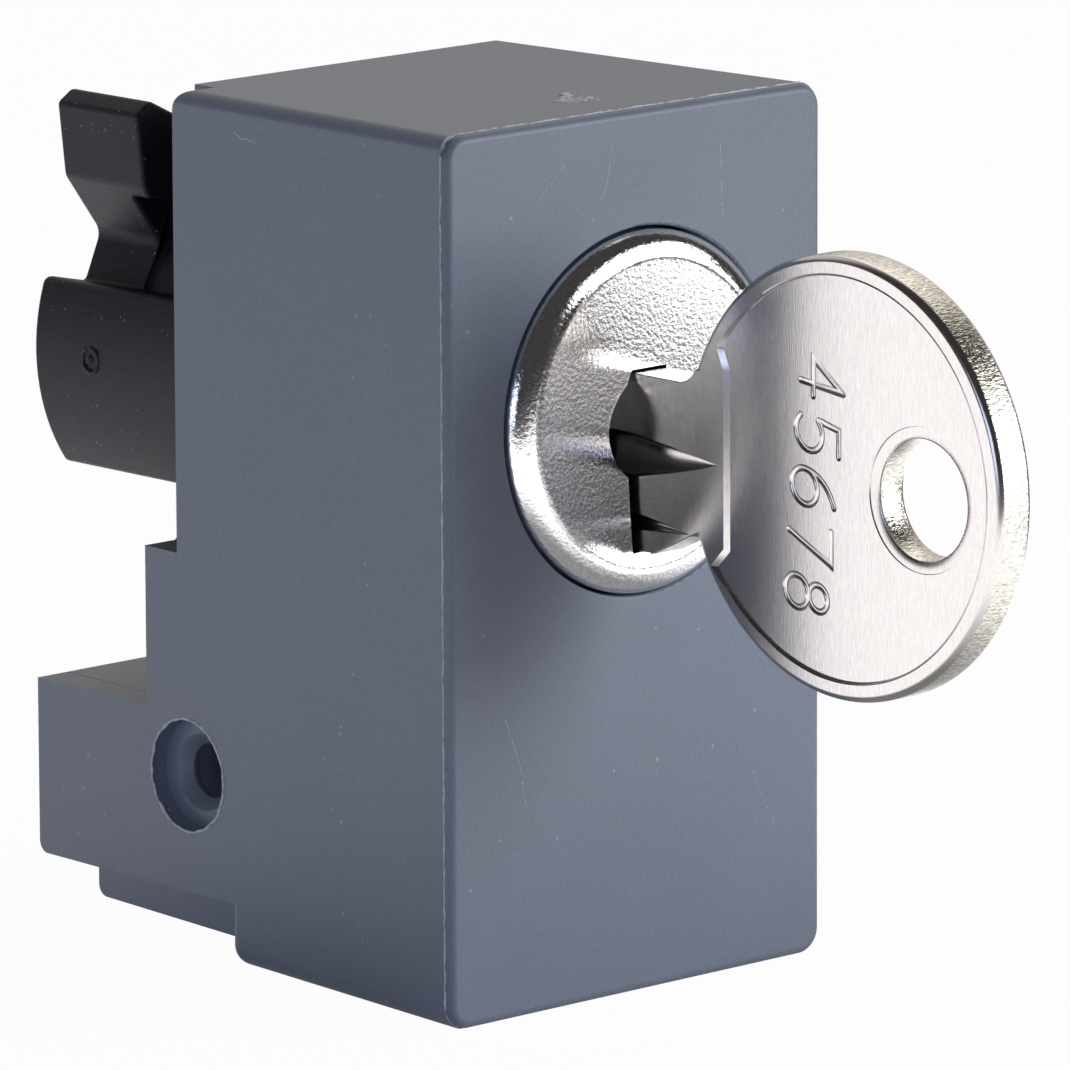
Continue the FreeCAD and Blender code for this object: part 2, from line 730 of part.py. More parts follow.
# Two pins that lock the cap to the plug
pins = []
for index, place in enumerate(pin_places, 1):
    made = newBody(f"cap_pin_{index}")
    sketch = circles(made, "XZ_Plane", "round", [("pin_size", place)], "pin_front")
    pad(made, "rod", sketch, "pin_end - pin_front")
    pins.append(made)
cap_pins = doc.addObject("Part::Compound", "cap_pins")
cap_pins.Links = pins

# Stop disc on the tail, open over the angle that the lock turns
stop = newBody("stop_disc")
stop_ring = circles(stop, "XZ_Plane", "ring", [("stop_size", axis)], stop_front)
pad(stop, "ring", stop_ring, "stop_thickness")
notch = rectangle(stop, "XZ_Plane", "notch", ("-stop_size", "-stop_size"),
                  ("stop_pin / 2 + fit_gap", "stop_pin / 2 + fit_gap"), f"{stop_front} - wall")
pocket(stop, "notch", notch, "stop_thickness + 2 * wall")
stop_hub = circles(stop, "XZ_Plane", "hub", [("stop_hub", axis)], stop_front)
pad(stop, "hub", stop_hub, "stop_thickness")
square_half = "tail_width / 2 + fit_gap"
stop_square = rectangle(stop, "XZ_Plane", "square", (f"-({square_half})", f"-({square_half})"),
                        (f"{square_half}", f"{square_half}"), f"{stop_front} - wall")
pocket(stop, "square", stop_square, "stop_thickness + 2 * wall")


def ring(label, outer, inner, start, thickness):
    body = newBody(label)
    sketch = circles(body, "XZ_Plane", "ring", [(outer, axis), (inner, axis)], start)
    pad(body, "ring", sketch, thickness)
    return body


ring("thrust_washer", "thrust_outer", "thrust_inner", washer_front, "thrust_thickness")
ring("cam_washer", "cam_washer_size", "cam_screw_clearance", screw_seat, "cam_washer_thickness")
screw("cam_screw", axis, "cam_screw", cam_screw_tip, "cam_screw_head",
      f"{screw_seat} + cam_washer_thickness", "cam_screw_head_height")

# Latch cam: a wing and a hooked arm on a round core
cam = newBody("latch_cam")
wing_round = circles(cam, "XZ_Plane", "wing_round", [("wing_size", axis)], cam_front)
pad(cam, "wing", wing_round, "cam_length")
beside_wing = [
    ("-wing_size", "wing_top + wing_top_slope * (wing_size - wing_root)"),
    ("-wing_root", "wing_top"),
    ("-wing_root", "-wing_bottom_slope * wing_root"),
    ("-wing_size", "-wing_bottom_slope * wing_size"),
    ("wing_size", "-wing_bottom_slope * wing_size"),
    ("wing_size", "wing_size"),
    ("-wing_size", "wing_size"),
]
cam_trim = outline(cam, "XZ_Plane", "beside_wing", beside_wing, f"{cam_front} - wall")
pocket(cam, "beside_wing", cam_trim, "cam_length + 2 * wall")


def wingEdge(edge):
    # The two long corners of the wing
    box = edge.BoundBox
    flat = box.XLength < 1e-6 and box.ZLength < 1e-6
    return flat and near(math.hypot(box.XMin, box.ZMin), "wing_size / 2")


dress(cam, "Fillet", "wing_corners", wingEdge, "Radius", "wing_round")
core_round = circles(cam, "XZ_Plane", "core", [("cam_core", axis)], cam_front)
pad(cam, "core", core_round, "cam_length")
arm = [
    ("arm_root_x", "0"),
    ("arm_heel_x", "arm_heel_z"),
    ("arm_waist_x", "arm_waist_z"),
    ("arm_neck_x", "arm_neck_z"),
    ("arm_tip_x", "arm_tip_z"),
    ("arm_peak_x", "arm_peak_z"),
    ("arm_back_x", "arm_back_z"),
    ("arm_throat_x", "arm_throat_z"),
    ("0", "arm_end_z"),
]
pad(cam, "arm", outline(cam, "XZ_Plane", "arm", arm, arm_front), "arm_length")
neck_slope = "(arm_neck_x - arm_waist_x) / (arm_neck_z - arm_waist_z)"
hook = [
    (f"arm_waist_x + (hook_level - arm_waist_z) * {neck_slope}", "hook_level"),
    ("arm_neck_x", "arm_neck_z"),
    ("arm_tip_x", "arm_tip_z"),
    ("arm_peak_x", "arm_peak_z"),
    ("arm_back_x", "arm_back_z"),
    ("-web_side", "hook_level"),
]
hook_front = f"({cam_end} - hook_length)"
pad(cam, "hook", outline(cam, "XZ_Plane", "hook", hook, hook_front), "hook_length")
web = [
    ("-web_side", "web_low"),
    ("-web_side", "web_high"),
    ("web_tip_x", "web_tip_z"),
    ("arm_back_x", "arm_back_z"),
    ("arm_throat_x", "arm_throat_z"),
    ("0", "arm_end_z"),
]
pad(cam, "web", outline(cam, "XZ_Plane", "web", web, web_front), f"{arm_front} - {web_front}")


def armEdge(edge):
    return alongY(edge, "arm_waist_x", "arm_waist_z") or alongY(edge, "arm_neck_x", "arm_neck_z")


dress(cam, "Fillet", "waist", armEdge, "Radius", "arm_round")
for side, x, z in (("low", "0", "-1"), ("right", "1", "0")):
    dimple = cam.newObject("PartDesign::SubtractiveSphere", f"latch_cam_dimple_{side}")
    dimple.setExpression("Radius", bound("detent_ball / 2"))
    reach = "(cam_core / 2 - detent_dimple + detent_ball / 2)"
    dimple.setExpression("Placement.Base.x", bound(f"{x} * {reach}"))
    dimple.setExpression("Placement.Base.y", bound(detent_depth))
    dimple.setExpression("Placement.Base.z", bound(f"{z} * {reach}"))
    doc.recompute()
square = rectangle(cam, "XZ_Plane", "square", (f"-({square_half})", f"-({square_half})"),
                   (f"{square_half}", f"{square_half}"), f"{cam_front} - wall")
pocket(cam, "socket", square, "socket_length + wall")
cam_hole = circles(cam, "XZ_Plane", "hole", [("cam_screw_clearance", axis)], cam_front)
pocket(cam, "hole", cam_hole, "cam_length")
head_recess = circles(cam, "XZ_Plane", "head_recess", [("head_recess", axis)], screw_seat)
pocket(cam, "head_recess", head_recess, "head_recess_depth + wall")

# Key: round bow, neck with a shoulder, and a blade with run-out grooves
key = newBody("key")


def slab(name, sketch):
    made = feature(key, "Pad", name, sketch)
    made.setExpression("Length", bound("key_thickness"))
    made.Midplane = True
    doc.recompute()


bow_place = ("bow_depth", "bow_level")
slab("bow", circles(key, "YZ_Plane", "bow", [("bow_size", bow_place)]))
shoulder = "plug_front - fit_gap"
neck = [
    ("bow_depth + bow_size / 4", "neck_top"),
    (shoulder, "neck_top"),
    (shoulder, "neck_bottom"),
    ("neck_rise_depth", "neck_bottom"),
    ("neck_root_depth", "neck_root_level"),
    ("bow_depth + bow_size / 4", "neck_root_level"),
]
slab("neck", outline(key, "YZ_Plane", "neck", neck))


def bowRoot(edge):
    # The corner between the neck's top and the round bow
    box = edge.BoundBox
    across = box.YLength < 1e-6 and box.ZLength < 1e-6
    return across and near(box.ZMin, "neck_top") and box.YMin < number("neck_rise_depth")


dress(key, "Fillet", "bow_root", bowRoot, "Radius", "bow_root_round")
blade = [
    ("0", "blade_top"),
    ("blade_end - blade_point", "blade_top"),
    ("blade_end", "blade_top - blade_point"),
    ("blade_end", "blade_bottom + blade_point"),
    ("blade_end - blade_point", "blade_bottom"),
    ("0", "blade_bottom"),
]
slab("blade", outline(key, "YZ_Plane", "blade", blade))
ring_place = ("ring_hole_depth", "ring_hole_level")
cutThrough(key, "ring_hole", circles(key, "YZ_Plane", "ring_hole", [("ring_hole", ring_place)]))


dress(key, "Chamfer", "ring_hole_edge", lambda edge: isRound(edge, "ring_hole"), "Size", "ring_hole_edge")
for name in ("groove_one", "groove_two"):
    sketch = rectangle(key, "YZ_Plane", name, (f"{name}_front", f"{name}_bottom"),
                       ("blade_end + wall", f"{name}_top"), "-(key_thickness / 2 - groove_depth)")
    pocket(key, f"{name}_cut", sketch, "groove_depth + wall")
bites = [1, 0.5, 0.9, 0.3, 0.7]
for index, share in enumerate(bites):
    middle = f"wafer_first + wafer_slot / 2 + {index} * wafer_pitch"
    bite = f"bite * {share}"
    points = [
        (f"{middle} - 2 * {bite}", "blade_bottom - fit_gap"),
        (f"{middle} + 2 * {bite}", "blade_bottom - fit_gap"),
        (f"{middle} + {bite} / 2", f"blade_bottom + {bite}"),
        (f"{middle} - {bite} / 2", f"blade_bottom + {bite}"),
    ]
    cutThrough(key, f"bite_{index + 1}", outline(key, "YZ_Plane", f"bite_{index + 1}", points))

# Wafers, which the blade holds inside the plug
wafer_count = int(number("wafer_count"))
for index in range(wafer_count):
    label = f"wafer_{index + 1}"
    wafer = newBody(label)
    start = f"wafer_first + {index} * wafer_pitch + (wafer_slot - wafer_thickness) / 2"
    disc = circles(wafer, "XZ_Plane", "disc", [("wafer_round", axis)], start)
    pad(wafer, "disc", disc, "wafer_thickness")
    edges_cut = [
        ("left", ("-wafer_width / 2", "-plug_size"), ("-plug_size", "plug_size")),
        ("right", ("wafer_width / 2", "-plug_size"), ("plug_size", "plug_size")),
        ("top", ("-plug_size", "wafer_top"), ("plug_size", "plug_size")),
        ("window", ("-wafer_window_width / 2", "wafer_window_bottom"),
         ("wafer_window_width / 2", "wafer_window_top")),
    ]
    for name, first, second in edges_cut:
        sketch = rectangle(wafer, "XZ_Plane", name, first, second, f"{start} - wall")
        pocket(wafer, f"{name}_cut", sketch, "wafer_thickness + 2 * wall")

wafer_springs = doc.addObject("Part::Feature", "wafer_springs")
coils = []
for index in range(wafer_count):
    middle = number(f"wafer_first + wafer_slot / 2 + {index} * wafer_pitch")
    coils.append(coil(number("wafer_top"), number("slot_top"), 0, middle, number("spring_size"),
                      number("spring_wire"), number("spring_turns")))
wafer_springs.Shape = Part.Compound(coils)

# Check every object, then write one file for each piece
doc.recompute()
for thing in doc.Objects:
    if "Invalid" in thing.State or "Error" in thing.State:
        raise RuntimeError(f"{thing.Label} failed: {thing.State}")
kinds = ("PartDesign::Body", "Part::Compound", "Part::Torus", "Part::Sphere", "Part::Feature")
pieces = [thing for thing in doc.Objects if thing.TypeId in kinds and thing not in pair + pins]
for piece in pieces:
    if piece.Shape.isNull() or not piece.Shape.isValid():
        raise RuntimeError(f"{piece.Label} has no valid shape")
os.makedirs("parts", exist_ok=True)
for piece in pieces:
    piece.Shape.exportStep(f"parts/{piece.Label}.step")
    box = piece.Shape.BoundBox
    print(piece.Label, len(piece.Shape.Solids), round(piece.Shape.Volume, 1),
          [round(v, 2) for v in (box.XMin, box.YMin, box.ZMin, box.XMax, box.YMax, box.ZMax)])
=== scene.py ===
import math
import bpy
import bmesh
from mathutils import Matrix, Vector


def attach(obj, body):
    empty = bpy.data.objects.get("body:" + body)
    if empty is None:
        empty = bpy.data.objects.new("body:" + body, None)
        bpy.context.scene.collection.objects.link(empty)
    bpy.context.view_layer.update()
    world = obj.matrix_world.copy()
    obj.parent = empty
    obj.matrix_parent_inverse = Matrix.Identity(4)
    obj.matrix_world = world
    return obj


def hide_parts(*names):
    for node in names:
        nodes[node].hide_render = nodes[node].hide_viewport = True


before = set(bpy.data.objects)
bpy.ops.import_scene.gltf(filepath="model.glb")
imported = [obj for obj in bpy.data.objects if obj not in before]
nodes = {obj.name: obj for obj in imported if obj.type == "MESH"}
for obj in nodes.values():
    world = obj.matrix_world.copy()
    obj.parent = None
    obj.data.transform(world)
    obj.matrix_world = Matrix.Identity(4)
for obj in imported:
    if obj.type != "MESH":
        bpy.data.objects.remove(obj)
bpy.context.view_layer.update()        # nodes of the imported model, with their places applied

# Enclosure door lock, all lengths in millimetres until they become metres through mm
mm = 0.001
scene = bpy.context.scene


# Small helpers
def linear(hexText):
    # an sRGB hex colour as the linear one that the sockets take
    parts = [int(hexText[i:i + 2], 16) / 255 for i in (1, 3, 5)]
    return [c / 12.92 if c <= 0.04045 else ((c + 0.055) / 1.055) ** 2.4 for c in parts] + [1.0]


def addNode(tree, kind, settings=None, inputs=None):
    # one node: its settings by name, its inputs by name or number, a socket as value is linked
    node = tree.nodes.new(kind)
    for name, value in (settings or {}).items():
        setattr(node, name, value)
    for name, value in (inputs or {}).items():
        if isinstance(value, bpy.types.NodeSocket):
            tree.links.new(value, node.inputs[name])
        else:
            node.inputs[name].default_value = linear(value) if isinstance(value, str) else value
    return node


def addObject(name, data):
    # a new object in the scene that holds the data
    made = bpy.data.objects.new(name, data)
    scene.collection.objects.link(made)
    return made


def startMaterial(name):
    material = bpy.data.materials.new(name)
    material.use_nodes = True
    tree = material.node_tree
    tree.nodes.clear()
    coords = addNode(tree, "ShaderNodeTexCoord").outputs["Object"]
    return material, tree, coords


def closeMaterial(tree, shader):
    addNode(tree, "ShaderNodeOutputMaterial", None, {"Surface": shader.outputs[0]})


def perMm(size):
    # noise scale for a grain of that size in millimetres
    return 1 / (size * mm)


def register(piece, body, slotName, *replaced):
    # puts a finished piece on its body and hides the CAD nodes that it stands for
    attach(piece, body)
    if replaced:
        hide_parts(*replaced)


def fixNormals(mesh):
    # merges what lies in one place and turns the faces outwards
    bm = bmesh.new()
    bm.from_mesh(mesh)
    bmesh.ops.remove_doubles(bm, verts=bm.verts, dist=0.0004 * mm)
    bmesh.ops.recalc_face_normals(bm, faces=bm.faces)
    bm.to_mesh(mesh)
    bm.free()


def weldedCopy(nodeName, pieceName):
    # a CAD node's shape with its loose triangles merged and its flat faces joined up
    bm = bmesh.new()
    bm.from_mesh(nodes[nodeName].data)
    bmesh.ops.remove_doubles(bm, verts=bm.verts, dist=0.0005 * mm)
    bmesh.ops.dissolve_limit(bm, angle_limit=math.radians(0.5), verts=bm.verts, edges=bm.edges)
    bm.verts.index_update()
    places = [v.co.copy() for v in bm.verts]
    rings = [[v.index for v in f.verts] for f in bm.faces]
    bm.free()
    mesh = bpy.data.meshes.new(pieceName)
    mesh.from_pydata(places, [], rings)
    return addObject(pieceName, mesh)


def keepFlat(piece, weight):
    # flat faces stay flat in the shading
    flat = piece.modifiers.new("flats", "WEIGHTED_NORMAL")
    flat.keep_sharp = True
    flat.weight = weight


def soften(piece, width, segments=2, angle=34, clamped=True):
    # small round on every sharp edge
    piece.data.shade_smooth()
    edge = piece.modifiers.new("edges", "BEVEL")
    edge.width = width * mm
    edge.segments = segments
    edge.limit_method = "ANGLE"
    edge.angle_limit = math.radians(angle)
    edge.miter_outer = "MITER_ARC"
    edge.use_clamp_overlap = clamped
    keepFlat(piece, 60)


def settle(piece):
    # what the modifiers make becomes the piece's own mesh
    bpy.context.view_layer.update()
    solid = bpy.data.meshes.new_from_object(piece.evaluated_get(bpy.context.evaluated_depsgraph_get()))
    piece.modifiers.clear()
    old = piece.data
    piece.data = solid
    bpy.data.meshes.remove(old)
    solid.name = piece.name


def cut(piece, cutter, label):
    # exact difference, then the cutter goes
    knife = piece.modifiers.new(label, "BOOLEAN")
    knife.operation = "DIFFERENCE"
    knife.solver = "EXACT"
    knife.object = cutter
    settle(piece)
    bpy.data.objects.remove(cutter)


def loosePart(name, points, faces):
    mesh = bpy.data.meshes.new(name)
    mesh.from_pydata([Vector(p) * mm for p in points], [], faces)
    fixNormals(mesh)
    return addObject(name, mesh)


def loft(rings, closedEnds=True):
    # rings of equal count joined one to the next
    count = len(rings[0])
    points = [p for ring in rings for p in ring]
    faces = []
    for level in range(len(rings) - 1):
        for i in range(count):
            j = (i + 1) % count
            here, there = level * count, (level + 1) * count
            faces.append((here + i, here + j, there + j, there + i))
    if closedEnds:
        faces.append(tuple(reversed(range(count))))
        faces.append(tuple(range((len(rings) - 1) * count, len(rings) * count)))
    return points, faces


def inset(outline, amounts):
    # points of a counter-clockwise outline moved inwards, each by its own amount
    moved = []
    count = len(outline)
    for i, (a, b) in enumerate(outline):
        before = Vector(outline[i - 1])
        after = Vector(outline[(i + 1) % count])
        here = Vector((a, b))
        first = (here - before).normalized()
        second = (after - here).normalized()
        normals = [Vector((-d.y, d.x)) for d in (first, second)]
        middle = (normals[0] + normals[1]).normalized()
        reach = amounts[i] / max(0.5, middle.dot(normals[0]))
        moved.append(tuple(here + middle * reach))
    return moved


def arc(centre, radius, start, end, count):
    # points of an arc in degrees, ends included
    turn = [math.radians(start + (end - start) * i / (count - 1)) for i in range(count)]
    return [(centre[0] + radius * math.cos(t), centre[1] + radius * math.sin(t)) for t in turn]


# Camera
view = {"azimuth": -42.881, "elevation": 11.307, "roll": -0.252, "distance": 565.3,
        "acrossMm": -5.47, "upMm": -6.312, "focalPx": 11095.8, "imagePx": 1070, "sensorMm": 36}


def placeCamera():
    a, e, r = (math.radians(view[k]) for k in ("azimuth", "elevation", "roll"))
    back = Vector((math.sin(a) * math.cos(e), -math.cos(a) * math.cos(e), math.sin(e)))
    right = Vector((math.cos(a), math.sin(a), 0))
    up = back.cross(right)
    across = right * math.cos(r) + up * math.sin(r)
    upright = up * math.cos(r) - right * math.sin(r)
    where = (back * view["distance"] + across * view["acrossMm"] + upright * view["upMm"]) * mm
    data = bpy.data.cameras.new("photoCamera")
    data.sensor_width = view["sensorMm"]
    data.sensor_height = view["sensorMm"]
    data.sensor_fit = "HORIZONTAL"
    data.lens = view["sensorMm"] * view["focalPx"] / view["imagePx"]
    data.clip_start = 0.01
    data.clip_end = 20
    camera = addObject("photoCamera", data)
    camera.matrix_world = Matrix((
        (across.x, upright.x, back.x, where.x),
        (across.y, upright.y, back.y, where.y),
        (across.z, upright.z, back.z, where.z),
        (0, 0, 0, 1)))
    scene.camera = camera


placeCamera()
print("camera placed")


# Materials
def speckMask(tree, coords, spacing, size, share):
    # small knocks: in a share of the cells one dot, each of its own size
    cells = addNode(tree, "ShaderNodeTexVoronoi", {"feature": "F1"},
                    {"Vector": coords, "Scale": perMm(spacing)})
    chance = addNode(tree, "ShaderNodeSeparateColor", None, {"Color": cells.outputs["Color"]})
    reach = addNode(tree, "ShaderNodeMapRange", None,
                    {"Value": chance.outputs[0], "From Min": 1 - share, "From Max": 1.0,
                     "To Min": 0.0, "To Max": size / spacing})
    return addNode(tree, "ShaderNodeMath", {"operation": "LESS_THAN"},
                   {0: cells.outputs["Distance"], 1: reach.outputs[0]})


def makeMoulding(name, low, high, roughness, grain, streak, relief, speck=None, ior=1.5):
    # moulded plastic or rubber: satin with a fine dry grain, drawn out a little along the streak
    material, tree, coords = startMaterial(name)
    fine = addNode(tree, "ShaderNodeTexNoise", None,
                   {"Vector": coords, "Scale": perMm(grain), "Detail": 3.0, "Roughness": 0.6})
    drawn = addNode(tree, "ShaderNodeMapping", {"vector_type": "POINT"},
                    {"Vector": coords, "Scale": [perMm(s) for s in streak]})
    lines = addNode(tree, "ShaderNodeTexNoise", None,
                    {"Vector": drawn.outputs[0], "Scale": 1.0, "Detail": 2.0, "Roughness": 0.5})
    cloud = addNode(tree, "ShaderNodeTexNoise", None,
                    {"Vector": coords, "Scale": perMm(9.0), "Detail": 2.0, "Roughness": 0.5})
    halfLines = addNode(tree, "ShaderNodeMath", {"operation": "MULTIPLY"},
                        {0: lines.outputs["Fac"], 1: 0.5})
    both = addNode(tree, "ShaderNodeMath", {"operation": "MULTIPLY_ADD"},
                   {0: fine.outputs["Fac"], 1: 0.5, 2: halfLines.outputs[0]})
    blend = addNode(tree, "ShaderNodeMapRange", None,
                    {"Value": both.outputs[0], "From Min": 0.32, "From Max": 0.68})
    large = addNode(tree, "ShaderNodeMapRange", None,
                    {"Value": cloud.outputs["Fac"], "From Min": 0.3, "From Max": 0.7,
                     "To Min": -0.12, "To Max": 0.12})
    mixed = addNode(tree, "ShaderNodeMath", {"operation": "ADD", "use_clamp": True},
                    {0: blend.outputs[0], 1: large.outputs[0]})
    colour = addNode(tree, "ShaderNodeMix", {"data_type": "RGBA"},
                     {0: mixed.outputs[0], 6: low, 7: high})
    if speck:
        tint, spacing, size, share = speck
        dots = speckMask(tree, coords, spacing, size, share)
        soft = addNode(tree, "ShaderNodeMath", {"operation": "MULTIPLY"}, {0: dots.outputs[0], 1: 0.7})
        colour = addNode(tree, "ShaderNodeMix", {"data_type": "RGBA"},
                         {0: soft.outputs[0], 6: colour.outputs[2], 7: tint})
    gloss = addNode(tree, "ShaderNodeMapRange", None,
                    {"Value": fine.outputs["Fac"], "From Min": 0.3, "From Max": 0.7,
                     "To Min": roughness - 0.04, "To Max": roughness + 0.06})
    bump = addNode(tree, "ShaderNodeBump", None,
                   {"Height": both.outputs[0], "Strength": 0.6, "Distance": relief * mm})
    shader = addNode(tree, "ShaderNodeBsdfPrincipled", None,
                     {"Base Color": colour.outputs[2], "Roughness": gloss.outputs[0], "IOR": ior,
                      "Normal": bump.outputs[0]})
    closeMaterial(tree, shader)
    return material


def makeMetal(name, low, high, roughness, spread, grain, relief, stretch=(1, 1, 1)):
    # bare or plated metal: a tint, a grain drawn along an axis, and a relief that breaks up its reflections
    material, tree, coords = startMaterial(name)
    place = addNode(tree, "ShaderNodeMapping", {"vector_type": "POINT"},
                    {"Vector": coords, "Scale": [perMm(grain * s) for s in stretch]})
    noise = addNode(tree, "ShaderNodeTexNoise", None,
                    {"Vector": place.outputs[0], "Scale": 1.0, "Detail": 3.0, "Roughness": 0.55})
    cloud = addNode(tree, "ShaderNodeTexNoise", None,
                    {"Vector": coords, "Scale": perMm(2.4), "Detail": 3.0, "Roughness": 0.6})
    tint = addNode(tree, "ShaderNodeMapRange", None,
                   {"Value": noise.outputs["Fac"], "From Min": 0.3, "From Max": 0.7})
    colour = addNode(tree, "ShaderNodeMix", {"data_type": "RGBA"},
                     {0: tint.outputs[0], 6: low, 7: high})
    gloss = addNode(tree, "ShaderNodeMapRange", None,
                    {"Value": cloud.outputs["Fac"], "From Min": 0.1, "From Max": 0.9,
                     "To Min": roughness - spread, "To Max": roughness + spread})
    bump = addNode(tree, "ShaderNodeBump", None,
                   {"Height": noise.outputs["Fac"], "Strength": 1.0, "Distance": relief * mm})
    shader = addNode(tree, "ShaderNodeBsdfPrincipled", None,
                     {"Base Color": colour.outputs[2], "Metallic": 1.0, "Roughness": gloss.outputs[0],
                      "Normal": bump.outputs[0]})
    closeMaterial(tree, shader)
    return material


# the housing's tool is spark-eroded, and its fine texture is knocked in places
greyMoulding = makeMoulding("sparkErodedAbs", "#697284", "#778194", 0.44, 0.1, (0.1, 0.1, 0.4), 0.018,
                            ("#9DA2AE", 1.0, 0.12, 0.3))
# glass fibres lie along the flow and some show at the skin
blackMoulding = makeMoulding("glassFilledNylon", "#121017", "#2E2B38", 0.52, 0.09, (0.09, 1.1, 0.09), 0.03,
                             ("#9A98A2", 0.4, 0.07, 0.4), ior=1.3)
# painted highlight and wear: the thin flash on the parting line and round the counterbores is near white as
# a painted highlight, and raised scratches whiten where the plastic was strained
highlightAndScratchMaterial = makeMoulding("flashHighlightAndScratchWhite", "#BFC4CD", "#E4E6EB", 0.5, 0.15, (0.15, 0.15, 0.3),
                             0.02)
# bright chrome over a tumbled zinc casting, which keeps a light orange peel
orangePeelChrome = makeMetal("orangePeelChrome", "#E2E2E6", "#FCFCFD", 0.07, 0.03, 0.2, 0.02)
# nickel over brass sheet that was brushed before plating, and its torn edge from the punch
brushedNickel = makeMetal("brushedNickelPlate", "#BFBAB9", "#D0CCCB", 0.2, 0.02, 0.05, 0.0026, (1, 1, 10))
punchedNickel = makeMetal("punchedNickelEdge", "#A8A294", "#F2EFE8", 0.17, 0.06, 0.15, 0.05,
                          (2.4, 0.8, 0.8))
# what lies inside: castings as they come out of the die, plated turned parts, drawn wire, stamped sheet
zincCasting = makeMetal("zincDieCasting", "#8C8C8E", "#A5A5A8", 0.42, 0.06, 0.3, 0.01)
zincSteel = makeMetal("zincPlatedSteel", "#A9ABB0", "#C3C5C9", 0.3, 0.05, 0.25, 0.004)
springSteel = makeMetal("drawnSpringSteel", "#6F7074", "#85868A", 0.33, 0.05, 0.1, 0.004)
brassSheet = makeMetal("stampedBrass", "#B8923F", "#D0AC5C", 0.28, 0.05, 0.12, 0.004)
sealRubber = makeMoulding("nitrileRubber", "#151515", "#1E1E1F", 0.6, 0.2, (0.2, 0.2, 0.2), 0.006)
print("materials made")

carriedOver = {"barrel_sleeve": zincCasting, "sleeve_clip": springSteel, "recess_seal": sealRubber,
               "stop_pin": zincSteel, "detent_ball": zincSteel, "detent_spring": springSteel,
               "plug": zincCasting, "cap_pins": zincSteel, "stop_disc": zincSteel,
               "thrust_washer": springSteel, "wafer_springs": springSteel}
for index in range(1, 6):
    carriedOver[f"wafer_{index}"] = brassSheet
for nodeName, material in carriedOver.items():
    data = nodes[nodeName].data
    data.materials.clear()
    data.materials.append(material)


# Housing, carrier, cam and the screws: welded copies with rounded edges
# by node: piece, body, slot, material, edge round in millimetres and its segments
dressed = {
    "housing_shell": ("housingMoulding", "housing", "grey_moulding", greyMoulding, 0.07, 2),
    "rear_carrier": ("carrierMoulding", "housing", "grey_moulding", greyMoulding, 0.07, 2),
    "carrier_screws": ("carrierScrewPair", "housing", "zinc_steel", zincSteel, 0.12, 3),
    "latch_cam": ("camMoulding", "rotor", "black_moulding", blackMoulding, 0.24, 3),
    "cam_washer": ("camWasher", "rotor", "spring_steel", springSteel, 0.05, 2),
    "cam_screw": ("camScrew", "rotor", "zinc_steel", zincSteel, 0.16, 3),
}
cheek = {"span": (-14.0, -10.39), "end": 22.0, "top": 15.47, "round": 1.15}


def cheekCutter():
    # what a round corner leaves out of a square one, at the top of the left wall's end
    r, end, top = cheek["round"], cheek["end"], cheek["top"]
    outline = arc((end - r, top - r), r, 0, 90, 10)
    outline += [(end - r, top + 1), (end + 1, top + 1), (end + 1, top - r)]
    points, faces = loft([[(x, y, z) for y, z in outline] for x in cheek["span"]])
    return loosePart("cheekCutter", points, faces)


for nodeName, (pieceName, body, slotName, material, width, segments) in dressed.items():
    piece = weldedCopy(nodeName, pieceName)
    piece.data.materials.append(material)
    if nodeName == "housing_shell":
        cut(piece, cheekCutter(), "cheek corner")
    soften(piece, width, segments, clamped=nodeName != "latch_cam")
    register(piece, body, slotName, nodeName)
print("housing, cam and screws dressed")


